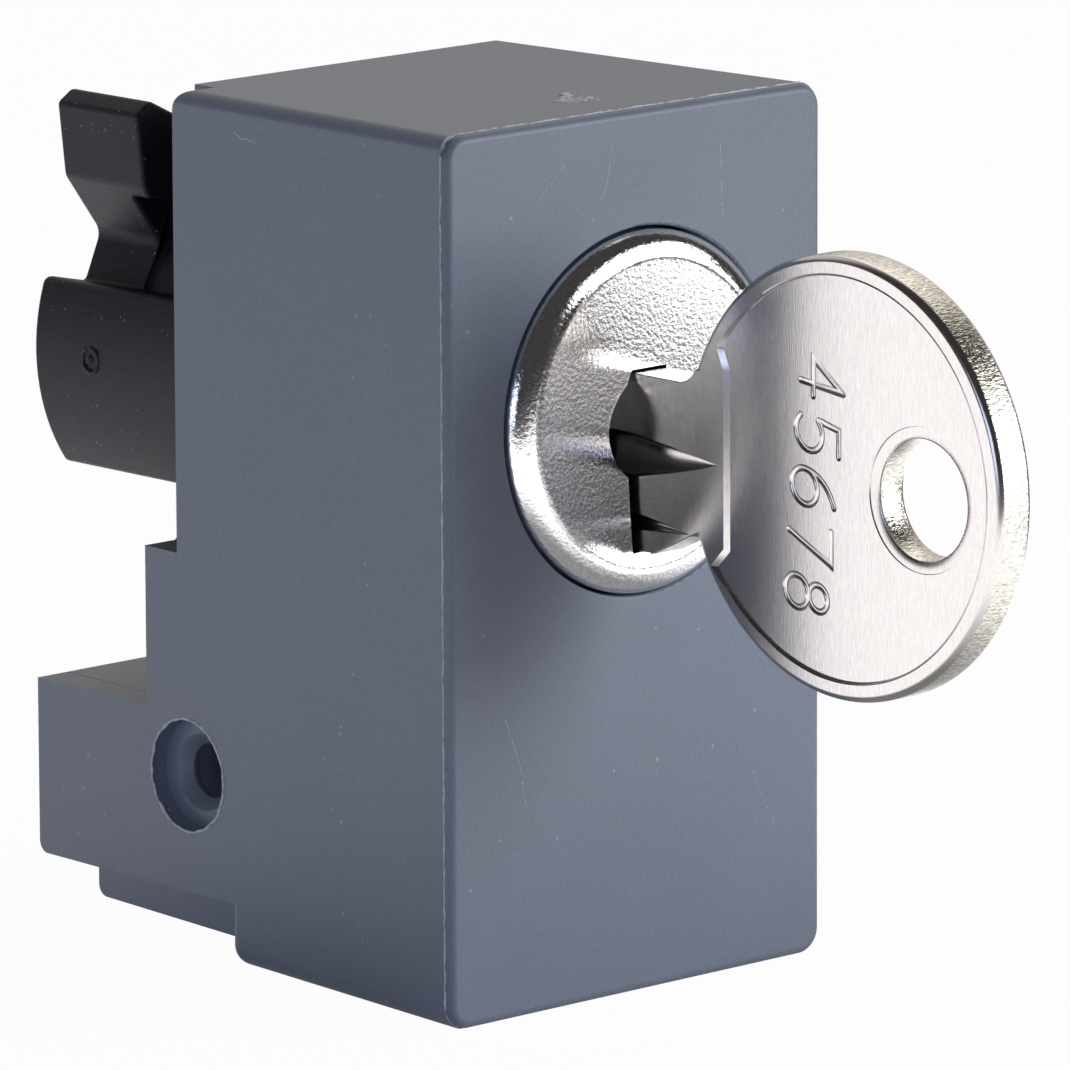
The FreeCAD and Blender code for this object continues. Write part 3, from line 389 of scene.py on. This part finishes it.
# Mould flash: a ragged bead that follows a path
def flashTree():
    tree = bpy.data.node_groups.new("moulded flash", "GeometryNodeTree")
    tree.is_modifier = True
    face = tree.interface
    face.new_socket("Geometry", in_out="INPUT", socket_type="NodeSocketGeometry")
    for name in ("Bead Radius", "Raggedness", "Grain", "Seed"):
        face.new_socket(name, in_out="INPUT", socket_type="NodeSocketFloat")
    face.new_socket("Material", in_out="INPUT", socket_type="NodeSocketMaterial")
    face.new_socket("Geometry", in_out="OUTPUT", socket_type="NodeSocketGeometry")
    given = addNode(tree, "NodeGroupInput").outputs
    step = addNode(tree, "ShaderNodeMath", {"operation": "DIVIDE"}, {0: given["Grain"], 1: 4.0})
    line = addNode(tree, "GeometryNodeMeshToCurve", None, {"Mesh": given["Geometry"]})
    path = addNode(tree, "GeometryNodeResampleCurve", {"mode": "LENGTH"},
                   {"Curve": line.outputs[0], "Length": step.outputs[0]})
    where = addNode(tree, "GeometryNodeInputPosition")
    scale = addNode(tree, "ShaderNodeMath", {"operation": "DIVIDE"}, {0: 1.0, 1: given["Grain"]})
    noise = addNode(tree, "ShaderNodeTexNoise", {"noise_dimensions": "4D"},
                    {"Vector": where.outputs[0], "W": given["Seed"], "Scale": scale.outputs[0],
                     "Detail": 3.0})
    middle = addNode(tree, "ShaderNodeVectorMath", {"operation": "SUBTRACT"},
                     {0: noise.outputs["Color"], 1: (0.5, 0.5, 0.5)})
    shift = addNode(tree, "ShaderNodeVectorMath", {"operation": "SCALE"},
                    {0: middle.outputs[0], "Scale": given["Raggedness"]})
    ragged = addNode(tree, "GeometryNodeSetPosition", None,
                     {"Geometry": path.outputs[0], "Offset": shift.outputs[0]})
    swell = addNode(tree, "ShaderNodeMapRange", None,
                    {"Value": noise.outputs["Fac"], "From Min": 0.35, "From Max": 0.68,
                     "To Min": 0.25, "To Max": 1.3})
    bead = addNode(tree, "ShaderNodeMath", {"operation": "MULTIPLY"},
                   {0: given["Bead Radius"], 1: swell.outputs[0]})
    section = addNode(tree, "GeometryNodeCurvePrimitiveCircle", {"mode": "RADIUS"},
                      {"Resolution": 6, "Radius": 1.0})
    skin = addNode(tree, "GeometryNodeCurveToMesh", None,
                   {"Curve": ragged.outputs[0], "Profile Curve": section.outputs[0],
                    "Scale": bead.outputs[0]})
    single = addNode(tree, "GeometryNodeRealizeInstances", None, {"Geometry": skin.outputs[0]})
    painted = addNode(tree, "GeometryNodeSetMaterial", None,
                      {"Geometry": single.outputs[0], "Material": given["Material"]})
    addNode(tree, "NodeGroupOutput", None, {"Geometry": painted.outputs[0]})
    return tree


flashNodes = flashTree()


def grown(name, points, closed, tree, values):
    # runs a tree on a path of points and keeps the result as a plain mesh
    count = len(points)
    edges = [(i, (i + 1) % count) for i in range(count if closed else count - 1)]
    mesh = bpy.data.meshes.new(name)
    mesh.from_pydata([Vector(p) * mm for p in points], edges, [])
    piece = addObject(name, mesh)
    maker = piece.modifiers.new("tree", "NODES")
    maker.node_group = tree
    for item in tree.interface.items_tree:
        if item.in_out == "INPUT" and item.name in values:
            maker[item.identifier] = values[item.name]
    settle(piece)
    piece.data.shade_smooth()
    return piece


def growFlash(name, points, closed, shape, seed, material):
    # shape is bead radius, raggedness and grain in millimetres
    bead, ragged, grain = shape
    return grown(name, points, closed, flashNodes,
                 {"Bead Radius": bead * mm, "Raggedness": ragged * mm, "Grain": grain * mm,
                  "Seed": float(seed), "Material": material})


housing = {"left": -13.4, "right": 12.75, "top": 15.6, "bottom": -30.35, "sideTaper": 0.0457,
           "topTaper": 0.006, "baseTaper": 0.02, "corner": 1.3, "partingDepth": 0.52}
flash = {"parting": (0.07, 0.18, 0.5), "bore": (0.085, 0.22, 0.4)}
bore = {"depth": 21.3, "level": -20.5, "counterbore": 2.975}


def partingLine():
    # the rim of the front tool half, round the housing just behind its front round
    d = housing["partingDepth"]
    left = housing["left"] + housing["sideTaper"] * d
    right = housing["right"] - housing["sideTaper"] * d
    top = housing["top"] - housing["topTaper"] * d
    bottom = housing["bottom"] + housing["baseTaper"] * d
    r = housing["corner"]
    corners = (arc((right - r, top - r), r, 0, 90, 9) + arc((left + r, top - r), r, 90, 180, 9)
               + arc((left + r, bottom + r), r, 180, 270, 9) + arc((right - r, bottom + r), r, 270, 360, 9))
    return [(x, d, z) for x, z in corners]


def counterboreRim(side):
    # the counterbore's edge on a tapered side wall
    points = []
    for y, z in arc((bore["depth"], bore["level"]), bore["counterbore"], 0, 355, 72):
        wall = (housing["left"] if side < 0 else housing["right"]) - side * housing["sideTaper"] * y
        points.append((wall, y, z))
    return points


# the parting and counterbore beads take the near-white colour, a painted highlight along these ridges
seam = growFlash("partingFlash", partingLine(), True, flash["parting"], 3, highlightAndScratchMaterial)
register(seam, "housing", "grey_moulding")
for side, name in ((-1, "boreFlashLeft"), (1, "boreFlashRight")):
    rim = growFlash(name, counterboreRim(side), True, flash["bore"], 8 + side, highlightAndScratchMaterial)
    register(rim, "housing", "grey_moulding")
# gate mark of the cam: a ragged ring round a torn stub
gate = {"centre": (-10.66, 30.65, -0.02), "ring": 0.62, "stub": 0.12, "shape": (0.17, 0.3, 0.4)}
for part, radius, seed in (("Ring", gate["ring"], 14), ("Stub", gate["stub"], 17)):
    x, y, z = gate["centre"]
    loop = [(x, b, c) for b, c in arc((y, z), radius, 0, 345, 24)]
    mark = growFlash("gate" + part, loop, True, gate["shape"], seed, blackMoulding)
    register(mark, "rotor", "black_moulding")
print("flash and gate mark made")


# Wear: for each mark its face, its places there, then bead radius, raggedness and grain in millimetres
marks = {
    "roofScuff": ("roof", [(-0.43, 3.4), (0.8, 3.85), (-1.45, 4.05), (0.75, 4.25), (-1.55, 4.45),
                           (0.68, 4.65), (-1.6, 4.85), (0.62, 5.05), (-1.4, 5.2), (0.58, 5.4), (-0.9, 5.55),
                           (0.6, 5.75), (-0.4, 5.9), (0.75, 6.05), (0.15, 6.25), (0.95, 6.45)],
                  (0.12, 0.3, 0.4)),
    "frontScratchOne": ("front", [(-2.04, 13.9), (-2.46, 11.85), (-3.57, 10.0)], (0.016, 0.08, 0.3)),
    "frontScratchTwo": ("front", [(-4.4, 14.25), (-7.1, 11.7)], (0.013, 0.06, 0.3)),
    "frontScratchThree": ("front", [(5.53, 13.16), (5.67, 9.45)], (0.014, 0.06, 0.3)),
    "frontScratchFour": ("front", [(-9.8, -14.2), (-8.6, -17.1), (-8.2, -19.4)], (0.013, 0.07, 0.3)),
    "frontScratchFive": ("front", [(7.9, -20.3), (9.7, -23.6)], (0.013, 0.05, 0.3)),
    "sidePit": ("side", [(14.75, 14.3), (14.85, 14.38)], (0.07, 0.1, 0.2)),
    "sideScratch": ("side", [(16.9, 13.85), (16.4, 13.6), (15.9, 13.62), (15.2, 13.5)],
                    (0.045, 0.12, 0.25)),
}


def markPlace(face, a, b, bead):
    # beads lie sunk in their face by half their radius
    sunk = bead / 2
    if face == "roof":
        return (a, b, housing["top"] - housing["topTaper"] * b - sunk)
    if face == "front":
        return (a, sunk, b)
    return (housing["left"] + housing["sideTaper"] * a + sunk, a, b)


for index, (name, (face, places, shape)) in enumerate(marks.items()):
    line = [markPlace(face, a, b, shape[0]) for a, b in places]
    register(growFlash(name, line, False, shape, 20 + index, highlightAndScratchMaterial), "housing", "grey_moulding")
print("marks made")


# Cap: a profile swept round the lock axis
cap = {"radius": 9.4, "back": 2.0, "edge": -0.1, "inner": 8.05, "dishRadius": 7.85, "crest": -0.95,
       "dish": -0.4, "crestPull": (8.15, -0.965), "crestEnd": (8.42, -0.86), "bevelPull": (9.2, -0.62),
       "flare": 2.6, "edgeRound": 0.16, "steps": 288, "pathRadius": 4.0, "slotRight": 1.225,
       "slotTop": 2.34, "slotBottom": -7.1}
# left side of the keyway from its top down: a lead, the bulge over the first groove, a straight foot
slotLeft = [(-1.22, cap["slotTop"]), (-1.5, 1.65), (-2.0, 1.15), (-2.42, 0.6), (-2.7, 0.0), (-2.82, -0.6),
            (-2.8, -1.2), (-2.62, -1.85), (-2.3, -2.45), (-1.86, -2.9), (-1.5, -3.2),
            (-1.5, cap["slotBottom"])]


def bend(start, pull, end, count):
    # points of a quadratic curve
    shares = [i / (count - 1) for i in range(count)]
    return [tuple((1 - s) ** 2 * a + 2 * s * (1 - s) * b + s * s * c for a, b, c in zip(start, pull, end))
            for s in shares]


def capProfile():
    # radius and depth from the dish out over the crest and bevel to the back
    points = []
    steps = 24
    for i in range(steps + 1):
        # part cone, part bowl that flares up to the crest
        r = cap["dishRadius"] * i / steps
        share = r / cap["inner"]
        rise = 0.45 * share + 0.55 * share ** cap["flare"]
        points.append((r, cap["dish"] + (cap["crest"] - cap["dish"]) * rise))
    # the crest and the bevel are one soft round that steepens outwards
    points += bend(points[-1], cap["crestPull"], cap["crestEnd"], 12)[1:]
    points += bend(points[-1], cap["bevelPull"], (cap["radius"] - 0.02, cap["edge"]), 14)[1:]
    points.append((cap["radius"], cap["edge"] + 0.1))
    points.append((cap["radius"], cap["back"]))
    points.append((0.0, cap["back"]))
    return points


def sweptTree():
    # turns a profile of radius and depth round the Y axis
    tree = bpy.data.node_groups.new("turned profile", "GeometryNodeTree")
    tree.is_modifier = True
    face = tree.interface
    face.new_socket("Geometry", in_out="INPUT", socket_type="NodeSocketGeometry")
    face.new_socket("Steps", in_out="INPUT", socket_type="NodeSocketInt")
    face.new_socket("Path Radius", in_out="INPUT", socket_type="NodeSocketFloat")
    face.new_socket("Material", in_out="INPUT", socket_type="NodeSocketMaterial")
    face.new_socket("Geometry", in_out="OUTPUT", socket_type="NodeSocketGeometry")
    given = addNode(tree, "NodeGroupInput").outputs
    section = addNode(tree, "GeometryNodeMeshToCurve", None, {"Mesh": given["Geometry"]})
    ring = addNode(tree, "GeometryNodeCurvePrimitiveCircle", {"mode": "RADIUS"},
                   {"Resolution": given["Steps"], "Radius": given["Path Radius"]})
    skin = addNode(tree, "GeometryNodeCurveToMesh", None,
                   {"Curve": ring.outputs[0], "Profile Curve": section.outputs[0]})
    upright = addNode(tree, "GeometryNodeTransform", None,
                      {"Geometry": skin.outputs[0], "Rotation": (math.radians(90), 0.0, 0.0)})
    welded = addNode(tree, "GeometryNodeMergeByDistance", None,
                     {"Geometry": upright.outputs[0], "Distance": 0.001 * mm})
    single = addNode(tree, "GeometryNodeRealizeInstances", None, {"Geometry": welded.outputs[0]})
    painted = addNode(tree, "GeometryNodeSetMaterial", None,
                      {"Geometry": single.outputs[0], "Material": given["Material"]})
    addNode(tree, "NodeGroupOutput", None, {"Geometry": painted.outputs[0]})
    return tree


capLine = [(r - cap["pathRadius"], y, 0.0) for r, y in capProfile()]
turnedCap = grown("dishedCap", capLine, False, sweptTree(),
                  {"Steps": cap["steps"], "Path Radius": cap["pathRadius"] * mm,
                   "Material": orangePeelChrome})
fixNormals(turnedCap.data)
slotOutline = [(cap["slotRight"], cap["slotBottom"]), (cap["slotRight"], cap["slotTop"])] + slotLeft
points, faces = loft([[(x, y, z) for x, z in reversed(slotOutline)] for y in (-3.0, 3.0)])
cut(turnedCap, loosePart("keywayCutter", points, faces), "keyway")
soften(turnedCap, cap["edgeRound"], segments=4, angle=42)
register(turnedCap, "rotor", "chrome_plate", "chrome_cap")
print("cap turned")


# Key: a rounded blank, cut with its fields, hole, grooves and digits
key = {"half": 1.125, "bow": (-15.5, -1.25), "bowRadius": 11.3, "neckTop": 2.2, "neckBottom": -7.0,
       "rise": -2.0, "root": -4.65, "rootLevel": -5.7, "rootRound": 1.4, "shoulder": 2.0, "bladeTop": 1.7,
       "bladeBottom": -5.7, "bladeEnd": 19.6, "point": 1.6, "bite": 0.8, "firstBite": 6.35, "pitch": 2.8,
       "rimRound": 0.38, "edgeRound": 0.06}
bites = [1, 0.5, 0.9, 0.3, 0.7]


def keyOutline():
    # counter-clockwise in depth and level, with the edge round that each point gets
    cy, cz = key["bow"]
    radius, fillet = key["bowRadius"], key["rootRound"]
    reach = radius + fillet
    filletZ = key["neckTop"] + fillet
    filletY = cy + math.sqrt(reach ** 2 - (filletZ - cz) ** 2)
    topTurn = math.degrees(math.atan2(filletZ - cz, filletY - cy))
    drop = key["rootLevel"] - cz
    lowTurn = math.degrees(math.atan2(drop, math.sqrt(radius ** 2 - drop ** 2)))
    bow = arc((cy, cz), radius, topTurn, 360 + lowTurn, 220)
    root = arc((filletY, filletZ), fillet, 270, 180 + topTurn, 12)
    lower = [(key["root"], key["rootLevel"]), (key["rise"], key["neckBottom"]),
             (key["shoulder"], key["neckBottom"]), (key["shoulder"], key["bladeBottom"])]
    teeth = []
    for index, share in enumerate(bites):
        middle = key["firstBite"] + index * key["pitch"]
        b = key["bite"] * share
        teeth += [(middle - 2 * b, key["bladeBottom"]), (middle - b / 2, key["bladeBottom"] + b),
                  (middle + b / 2, key["bladeBottom"] + b), (middle + 2 * b, key["bladeBottom"])]
    end, p = key["bladeEnd"], key["point"]
    # the last bite runs into the slope of the point
    (startY, startZ), (stopY, stopZ) = teeth[-2:]
    share = (end - p - startY + startZ - key["bladeBottom"]) / (stopY - startY + startZ - stopZ)
    teeth[-1] = (startY + (stopY - startY) * share, startZ + (stopZ - startZ) * share)
    tip = [(end, key["bladeBottom"] + p), (end, key["bladeTop"] - p), (end - p, key["bladeTop"]),
           (key["shoulder"], key["bladeTop"]), (key["shoulder"], key["neckTop"])]
    points = bow + lower + teeth + tip + root[:-1]
    rounds = [key["rimRound"]] * len(bow) + [key["edgeRound"]] * (len(points) - len(bow))
    return points, rounds


def keyBlank():
    # the outline pushed through the key's thickness, with a quarter round at both faces
    outline, rounds = keyOutline()
    rings = []
    steps = 6
    for side in (-1, 1):
        for i in range(steps + 1):
            turn = math.pi / 2 * (i if side < 0 else steps - i) / steps
            ring = inset(outline, [r * (1 - math.sin(turn)) for r in rounds])
            rings.append([(side * (key["half"] - r * (1 - math.cos(turn))), y, z)
                          for (y, z), r in zip(ring, rounds)])
    points, faces = loft(rings)
    return loosePart("keyBlade", points, faces)


field = {"depth": 0.2, "rim": 1.06, "step": 0.05, "border": -7.4, "borderTop": 3.2, "borderLow": -6.1,
         "topCorner": (-7.06, 4.23), "lowCorner": (-6.24, -7.19), "wide": 0.28, "widening": 0.4,
         "line": 0.05, "lineTurns": (57, 303)}


def fieldCutter(side):
    # coined field of the bow: thin step along the round rim, wide slope along the straight border
    cy, cz = key["bow"]
    radius = key["bowRadius"] - field["rim"]
    turns = [math.degrees(math.atan2(z - cz, y - cy)) for y, z in (field["topCorner"], field["lowCorner"])]
    edge = arc((cy, cz), radius, turns[0], 360 + turns[1], 160)
    stretch = 30
    for i in range(stretch):
        # the last stretch widens towards the rim
        share = 1 - i / stretch
        y, z = edge[-1 - i]
        outwards = Vector((y - cy, z - cz)).normalized() * field["widening"] * share ** 2
        edge[-1 - i] = (y + outwards.x, z + outwards.y)
    lowSide = [(field["border"], field["borderLow"]), (field["border"], field["borderTop"])]
    bottom = edge + lowSide
    spread = [field["step"]] * len(edge) + [field["wide"]] * 2
    fade = 14
    for i in range(fade):
        # the wide slope thins out along the rim, more quickly at its lower end
        spread[i] = max(field["step"], field["wide"] * (1 - i / fade) ** 1.5)
        spread[-3 - i] = max(field["step"], field["wide"] * (1 - i / fade) ** 4)
    top = inset(bottom, [-s for s in spread])
    beyond = inset(bottom, [-s * 1.5 for s in spread])
    face = key["half"]
    levels = [(bottom, face - field["depth"]), (top, face), (beyond, face + field["depth"] / 2)]
    points, faces = loft([[(side * x, y, z) for y, z in ring] for ring, x in levels])
    return loosePart("fieldCutter", points, faces)


def fieldLineCutter(side):
    # fine line that the coining leaves beside the step, as a thin ring sunk in the face
    cy, cz = key["bow"]
    radius = key["bowRadius"] - field["rim"] + field["step"] + field["line"]
    rings = []
    for y, z in arc((cy, cz), radius, *field["lineTurns"], 140):
        outwards = Vector((y - cy, z - cz)).normalized()
        ring = []
        for k in range(8):
            t = math.tau * k / 8
            place = Vector((y, z)) + outwards * field["line"] * math.cos(t)
            ring.append((side * (key["half"] + field["line"] * math.sin(t)), place.x, place.y))
        rings.append(ring)
    points, faces = loft(rings)
    return loosePart("fieldLineCutter", points, faces)


ringHole = {"centre": (-21.1, -1.55), "radius": 3.05, "band": 3.72, "bandDepth": 0.06, "edge": 0.16}


def holeCutter():
    # through hole with a shallow stepped band on both faces: radius and height of each step
    floor = key["half"] - field["depth"] - ringHole["bandDepth"]
    r, e, b = ringHole["radius"], ringHole["edge"], ringHole["band"]
    side = [(b + 0.02, floor + 1.0), (b, floor + ringHole["bandDepth"]), (b - 0.03, floor), (r + e, floor),
            (r + e * 0.3, floor - e * 0.3), (r, floor - e)]
    profile = [(radius, -x) for radius, x in side] + [(radius, x) for radius, x in reversed(side)]
    rings = []
    for radius, x in profile:
        rings.append([(x, y, z) for y, z in arc(ringHole["centre"], radius, 0, 357, 120)])
    points, faces = loft(rings)
    return loosePart("holeCutter", points, faces)


grooves = {
    "grooveOne": {"top": -0.9, "bottom": -3.2, "depth": 0.6, "fade": -0.4, "tip": (-6.56, -1.74)},
    "grooveTwo": {"top": -5.0, "bottom": -5.9, "depth": 0.5, "fade": -0.6, "tip": (-4.65, -5.6)},
}


def grooveCutter(shape):
    # milled groove with a round floor that runs out to a point towards the bow
    middle = (shape["top"] + shape["bottom"]) / 2
    tall = (shape["top"] - shape["bottom"]) / 2
    rings = []
    pastBlade = 20.5
    stations = [(pastBlade, 1.0), (shape["fade"], 1.0)]
    steps = 14
    for i in range(1, steps + 1):
        share = i / steps
        stations.append((shape["fade"] + (shape["tip"][0] - shape["fade"]) * share,
                         max(0.02, (1 - share) ** 0.8)))
    for y, size in stations:
        lean = 1 - size if y < shape["fade"] else 0
        z = middle + (shape["tip"][1] - middle) * lean
        rings.append([(-key["half"] + shape["depth"] * size * math.cos(t), y, z + tall * size * math.sin(t))
                      for t in [math.tau * k / 28 for k in range(28)]])
    points, faces = loft(rings)
    return loosePart("grooveCutter", points, faces)


digits = {"text": "45678", "height": 3.05, "width": 0.38, "depth": 0.1, "slant": 0.12,
          "centres": [(-14.01, 3.6), (-13.69, 0.77), (-13.4, -2.05), (-13.15, -4.75), (-12.93, -7.49)]}
# strokes of each digit in a box one high, centred, with the closed ones marked
strokes = {
    "4": [([(0.12, -0.5), (0.12, 0.5)], False), ([(0.12, 0.5), (-0.3, -0.2), (0.32, -0.2)], False)],
    "5": [([(0.26, 0.5), (-0.19, 0.5), (-0.24, 0.05)], False),
          (arc((0.0, -0.19), 0.31, 138, -140, 16), False)],
    "6": [(arc((0.0, -0.2), 0.3, 0, 345, 24), True), (arc((0.42, -0.2), 0.72, 108, 180, 10), False)],
    "7": [([(-0.28, 0.5), (0.28, 0.5), (-0.08, -0.5)], False)],
    "8": [(arc((0.0, 0.27), 0.22, 0, 345, 24), True), (arc((0.0, -0.23), 0.27, 0, 345, 24), True)],
}


def strokeCutter(path, closed, centre):
    # round-bottomed groove along a stroke; the digit's top points to the right and the row reads downwards
    tall = digits["height"]
    line = [Vector((x * tall + digits["slant"] * y * tall, y * tall)) for x, y in path]
    count = len(line)
    half = digits["width"] / 2
    stations = []
    for i, here in enumerate(line):
        before = (here - line[i - 1]).normalized() if closed or i else None
        after = (line[(i + 1) % count] - here).normalized() if closed or i < count - 1 else None
        before, after = before or after, after or before
        across = (Vector((-before.y, before.x)) + Vector((-after.y, after.x))).normalized()
        reach = min(2.2, 1 / across.dot(Vector((-after.y, after.x))))
        stations.append((here, across * half * reach, 1.0))
    if not closed:
        # the ends are round
        for at, along in ((0, line[0] - line[1]), (-1, line[-1] - line[-2])):
            place, wide, full = stations[at]
            for turn in (30, 60, 85):
                t = math.radians(turn)
                end = (place + along.normalized() * half * math.sin(t), wide * math.cos(t), math.cos(t))
                stations.insert(0 if at == 0 else len(stations), end)
    floor = field["depth"] - key["half"]
    rings = []
    for place, wide, full in stations:
        ring = []
        for k in range(12):
            t = math.tau * k / 12
            x, y = place + wide * math.cos(t)
            ring.append((floor + digits["depth"] * full * math.sin(t), centre[0] - y, centre[1] - x))
        rings.append(ring)
    points, faces = loft(rings + [rings[0]] if closed else rings, closedEnds=not closed)
    return loosePart("strokeCutter", points, faces)


keyPiece = keyBlank()
for side in (-1, 1):
    cut(keyPiece, fieldCutter(side), "field")
    cut(keyPiece, fieldLineCutter(side), "field line")
cut(keyPiece, holeCutter(), "ring hole")
for shape in grooves.values():
    cut(keyPiece, grooveCutter(shape), "groove")
for character, centre in zip(digits["text"], digits["centres"]):
    for path, closed in strokes[character]:
        cut(keyPiece, strokeCutter(path, closed, centre), "digit")
keyPiece.data.materials.append(brushedNickel)
keyPiece.data.materials.append(punchedNickel)
for polygon in keyPiece.data.polygons:
    # walls across the sheet are rough from the punch
    if abs(polygon.normal.x) < 0.35:
        polygon.material_index = 1
keyPiece.data.shade_smooth()
keyPiece.data.set_sharp_from_angle(angle=math.radians(28))
keepFlat(keyPiece, 90)
register(keyPiece, "key", "nickel_key", "key")
print("key cut, faces", len(keyPiece.data.polygons))


# Floor, world and lamps
# the white sheet ends to the right and towards the camera, and past it mirrors see a grey room
studio = {"floor": -30.35, "floorSize": 3000, "floorColour": "#F4F4F4", "sheetShare": 0.97,
          "sheet": 1.8, "room": 0.12, "sheetRight": (80, 88), "sheetFront": (96, 140),
          "frontwards": (-0.68, -0.73, 0.0), "shadow": 0.3, "shadowReach": (38, 58),
          "wallwards": (0.44, 0.88, 0.18), "wallEdge": (0.35, 0.65), "wall": (0.05, 0.8), "ambient": 0.16}


# sockets with the larger and the smaller of two values
def strongerOf(tree, first, second):
    return addNode(tree, "ShaderNodeMath", {"operation": "MAXIMUM"}, {0: first, 1: second}).outputs[0]


def weakerOf(tree, first, second):
    return addNode(tree, "ShaderNodeMath", {"operation": "MINIMUM"}, {0: first, 1: second}).outputs[0]


def fadeBetween(tree, value, span, start, end):
    # from start to end where the value passes through a span of millimetres
    return addNode(tree, "ShaderNodeMapRange", None,
                   {"Value": value, "From Min": span[0] * mm, "From Max": span[1] * mm,
                    "To Min": start, "To Max": end}).outputs[0]


def makeFloor():
    # matt white sweep: stays white behind the object and keeps a faint shadow
    material, tree, coords = startMaterial("mattWhiteSweep")
    half = studio["floorSize"] / 2
    matt = addNode(tree, "ShaderNodeBsdfDiffuse", None, {"Color": studio["floorColour"]})
    white = addNode(tree, "ShaderNodeEmission", None, {"Color": "#FFFFFF"})
    rays = addNode(tree, "ShaderNodeLightPath").outputs
    direct = strongerOf(tree, rays["Is Camera Ray"], rays["Is Transmission Ray"])
    seen = strongerOf(tree, direct, rays["Is Glossy Ray"])
    share = addNode(tree, "ShaderNodeMath", {"operation": "MULTIPLY"}, {0: seen, 1: studio["sheetShare"]})
    place = addNode(tree, "ShaderNodeSeparateXYZ", None, {0: coords})
    ahead = addNode(tree, "ShaderNodeVectorMath", {"operation": "DOT_PRODUCT"},
                    {0: coords, 1: studio["frontwards"]})
    away = addNode(tree, "ShaderNodeVectorMath", {"operation": "LENGTH"}, {0: coords})
    right = fadeBetween(tree, place.outputs[0], studio["sheetRight"], studio["sheet"], studio["room"])
    front = fadeBetween(tree, ahead.outputs["Value"], studio["sheetFront"], studio["sheet"], studio["room"])
    # painted shadow: close to the object the sheet's glow in reflections is dimmed, as if it lay in the
    # object's shadow
    shade = fadeBetween(tree, away.outputs["Value"], studio["shadowReach"], studio["shadow"],
                        studio["sheet"])
    sheet = weakerOf(tree, weakerOf(tree, right, front), shade)
    strength = addNode(tree, "ShaderNodeMix", {"data_type": "FLOAT"}, {0: direct, 2: sheet, 3: 1.0})
    tree.links.new(strength.outputs[0], white.inputs["Strength"])
    both = addNode(tree, "ShaderNodeMixShader", None,
                   {0: share.outputs[0], 1: matt.outputs[0], 2: white.outputs[0]})
    closeMaterial(tree, both)
    mesh = bpy.data.meshes.new("floor")
    z = studio["floor"]
    corners = [(-half, -half, z), (half, -half, z), (half, half, z), (-half, half, z)]
    mesh.from_pydata([Vector(p) * mm for p in corners], [], [(0, 1, 2, 3)])
    mesh.materials.append(material)
    floor = addObject("floor", mesh)


def makeWorld():
    world = bpy.data.worlds.new("studio")
    scene.world = world
    world.use_nodes = True
    tree = world.node_tree
    tree.nodes.clear()
    rays = addNode(tree, "ShaderNodeLightPath").outputs
    # mirrors see a white sweep behind the object and to its right, and a dim room in front and to the left
    where = addNode(tree, "ShaderNodeTexCoord")
    towards = addNode(tree, "ShaderNodeVectorMath", {"operation": "DOT_PRODUCT"},
                      {0: where.outputs["Generated"], 1: studio["wallwards"]})
    room = addNode(tree, "ShaderNodeMapRange", None,
                   {"Value": towards.outputs["Value"],
                    "From Min": studio["wallEdge"][0], "From Max": studio["wallEdge"][1],
                    "To Min": studio["wall"][0], "To Max": studio["wall"][1]})
    dim = addNode(tree, "ShaderNodeBackground", None, {"Color": "#FFFAF5", "Strength": room.outputs[0]})
    soft = addNode(tree, "ShaderNodeBackground", None, {"Color": "#FFFFFF", "Strength": studio["ambient"]})
    white = addNode(tree, "ShaderNodeBackground", None, {"Color": "#FFFFFF", "Strength": 1.0})
    forGloss = addNode(tree, "ShaderNodeMixShader", None,
                       {0: rays["Is Glossy Ray"], 1: soft.outputs[0], 2: dim.outputs[0]})
    direct = strongerOf(tree, rays["Is Camera Ray"], rays["Is Transmission Ray"])
    both = addNode(tree, "ShaderNodeMixShader", None,
                   {0: direct, 1: forGloss.outputs[0], 2: white.outputs[0]})
    addNode(tree, "ShaderNodeOutputWorld", None, {"Surface": both.outputs[0]})


# direction the lamp stands in, width and height in mm, power in watts and colour
lamps = {
    "frontRightSoftbox": {"towards": (0.60, -0.74, 0.20), "size": (300, 220), "power": 1.25,
                          "colour": "#FFFFFF"},
    "leftSoftbox": {"towards": (-0.93, -0.22, 0.02), "size": (260, 200), "power": 0.37,
                    "colour": "#CFDDFF"},
    "topSoftbox": {"towards": (0.45, 0.35, 0.82), "size": (300, 300), "power": 0.24, "colour": "#FFF6EE"},
}
lampDistance = 420
lampAim = (0, 0, -7)


def makeLamps():
    aim = Vector(lampAim) * mm
    for name, lamp in lamps.items():
        data = bpy.data.lights.new(name, "AREA")
        data.shape = "RECTANGLE"
        data.size, data.size_y = (s * mm for s in lamp["size"])
        data.energy = lamp["power"]
        data.color = linear(lamp["colour"])[:3]
        holder = addObject(name, data)
        towards = Vector(lamp["towards"]).normalized()
        holder.location = aim + towards * lampDistance * mm
        holder.rotation_euler = towards.to_track_quat("Z", "Y").to_euler()


makeFloor()
makeWorld()
makeLamps()
scene.view_settings.view_transform = "Standard"
print("studio set")
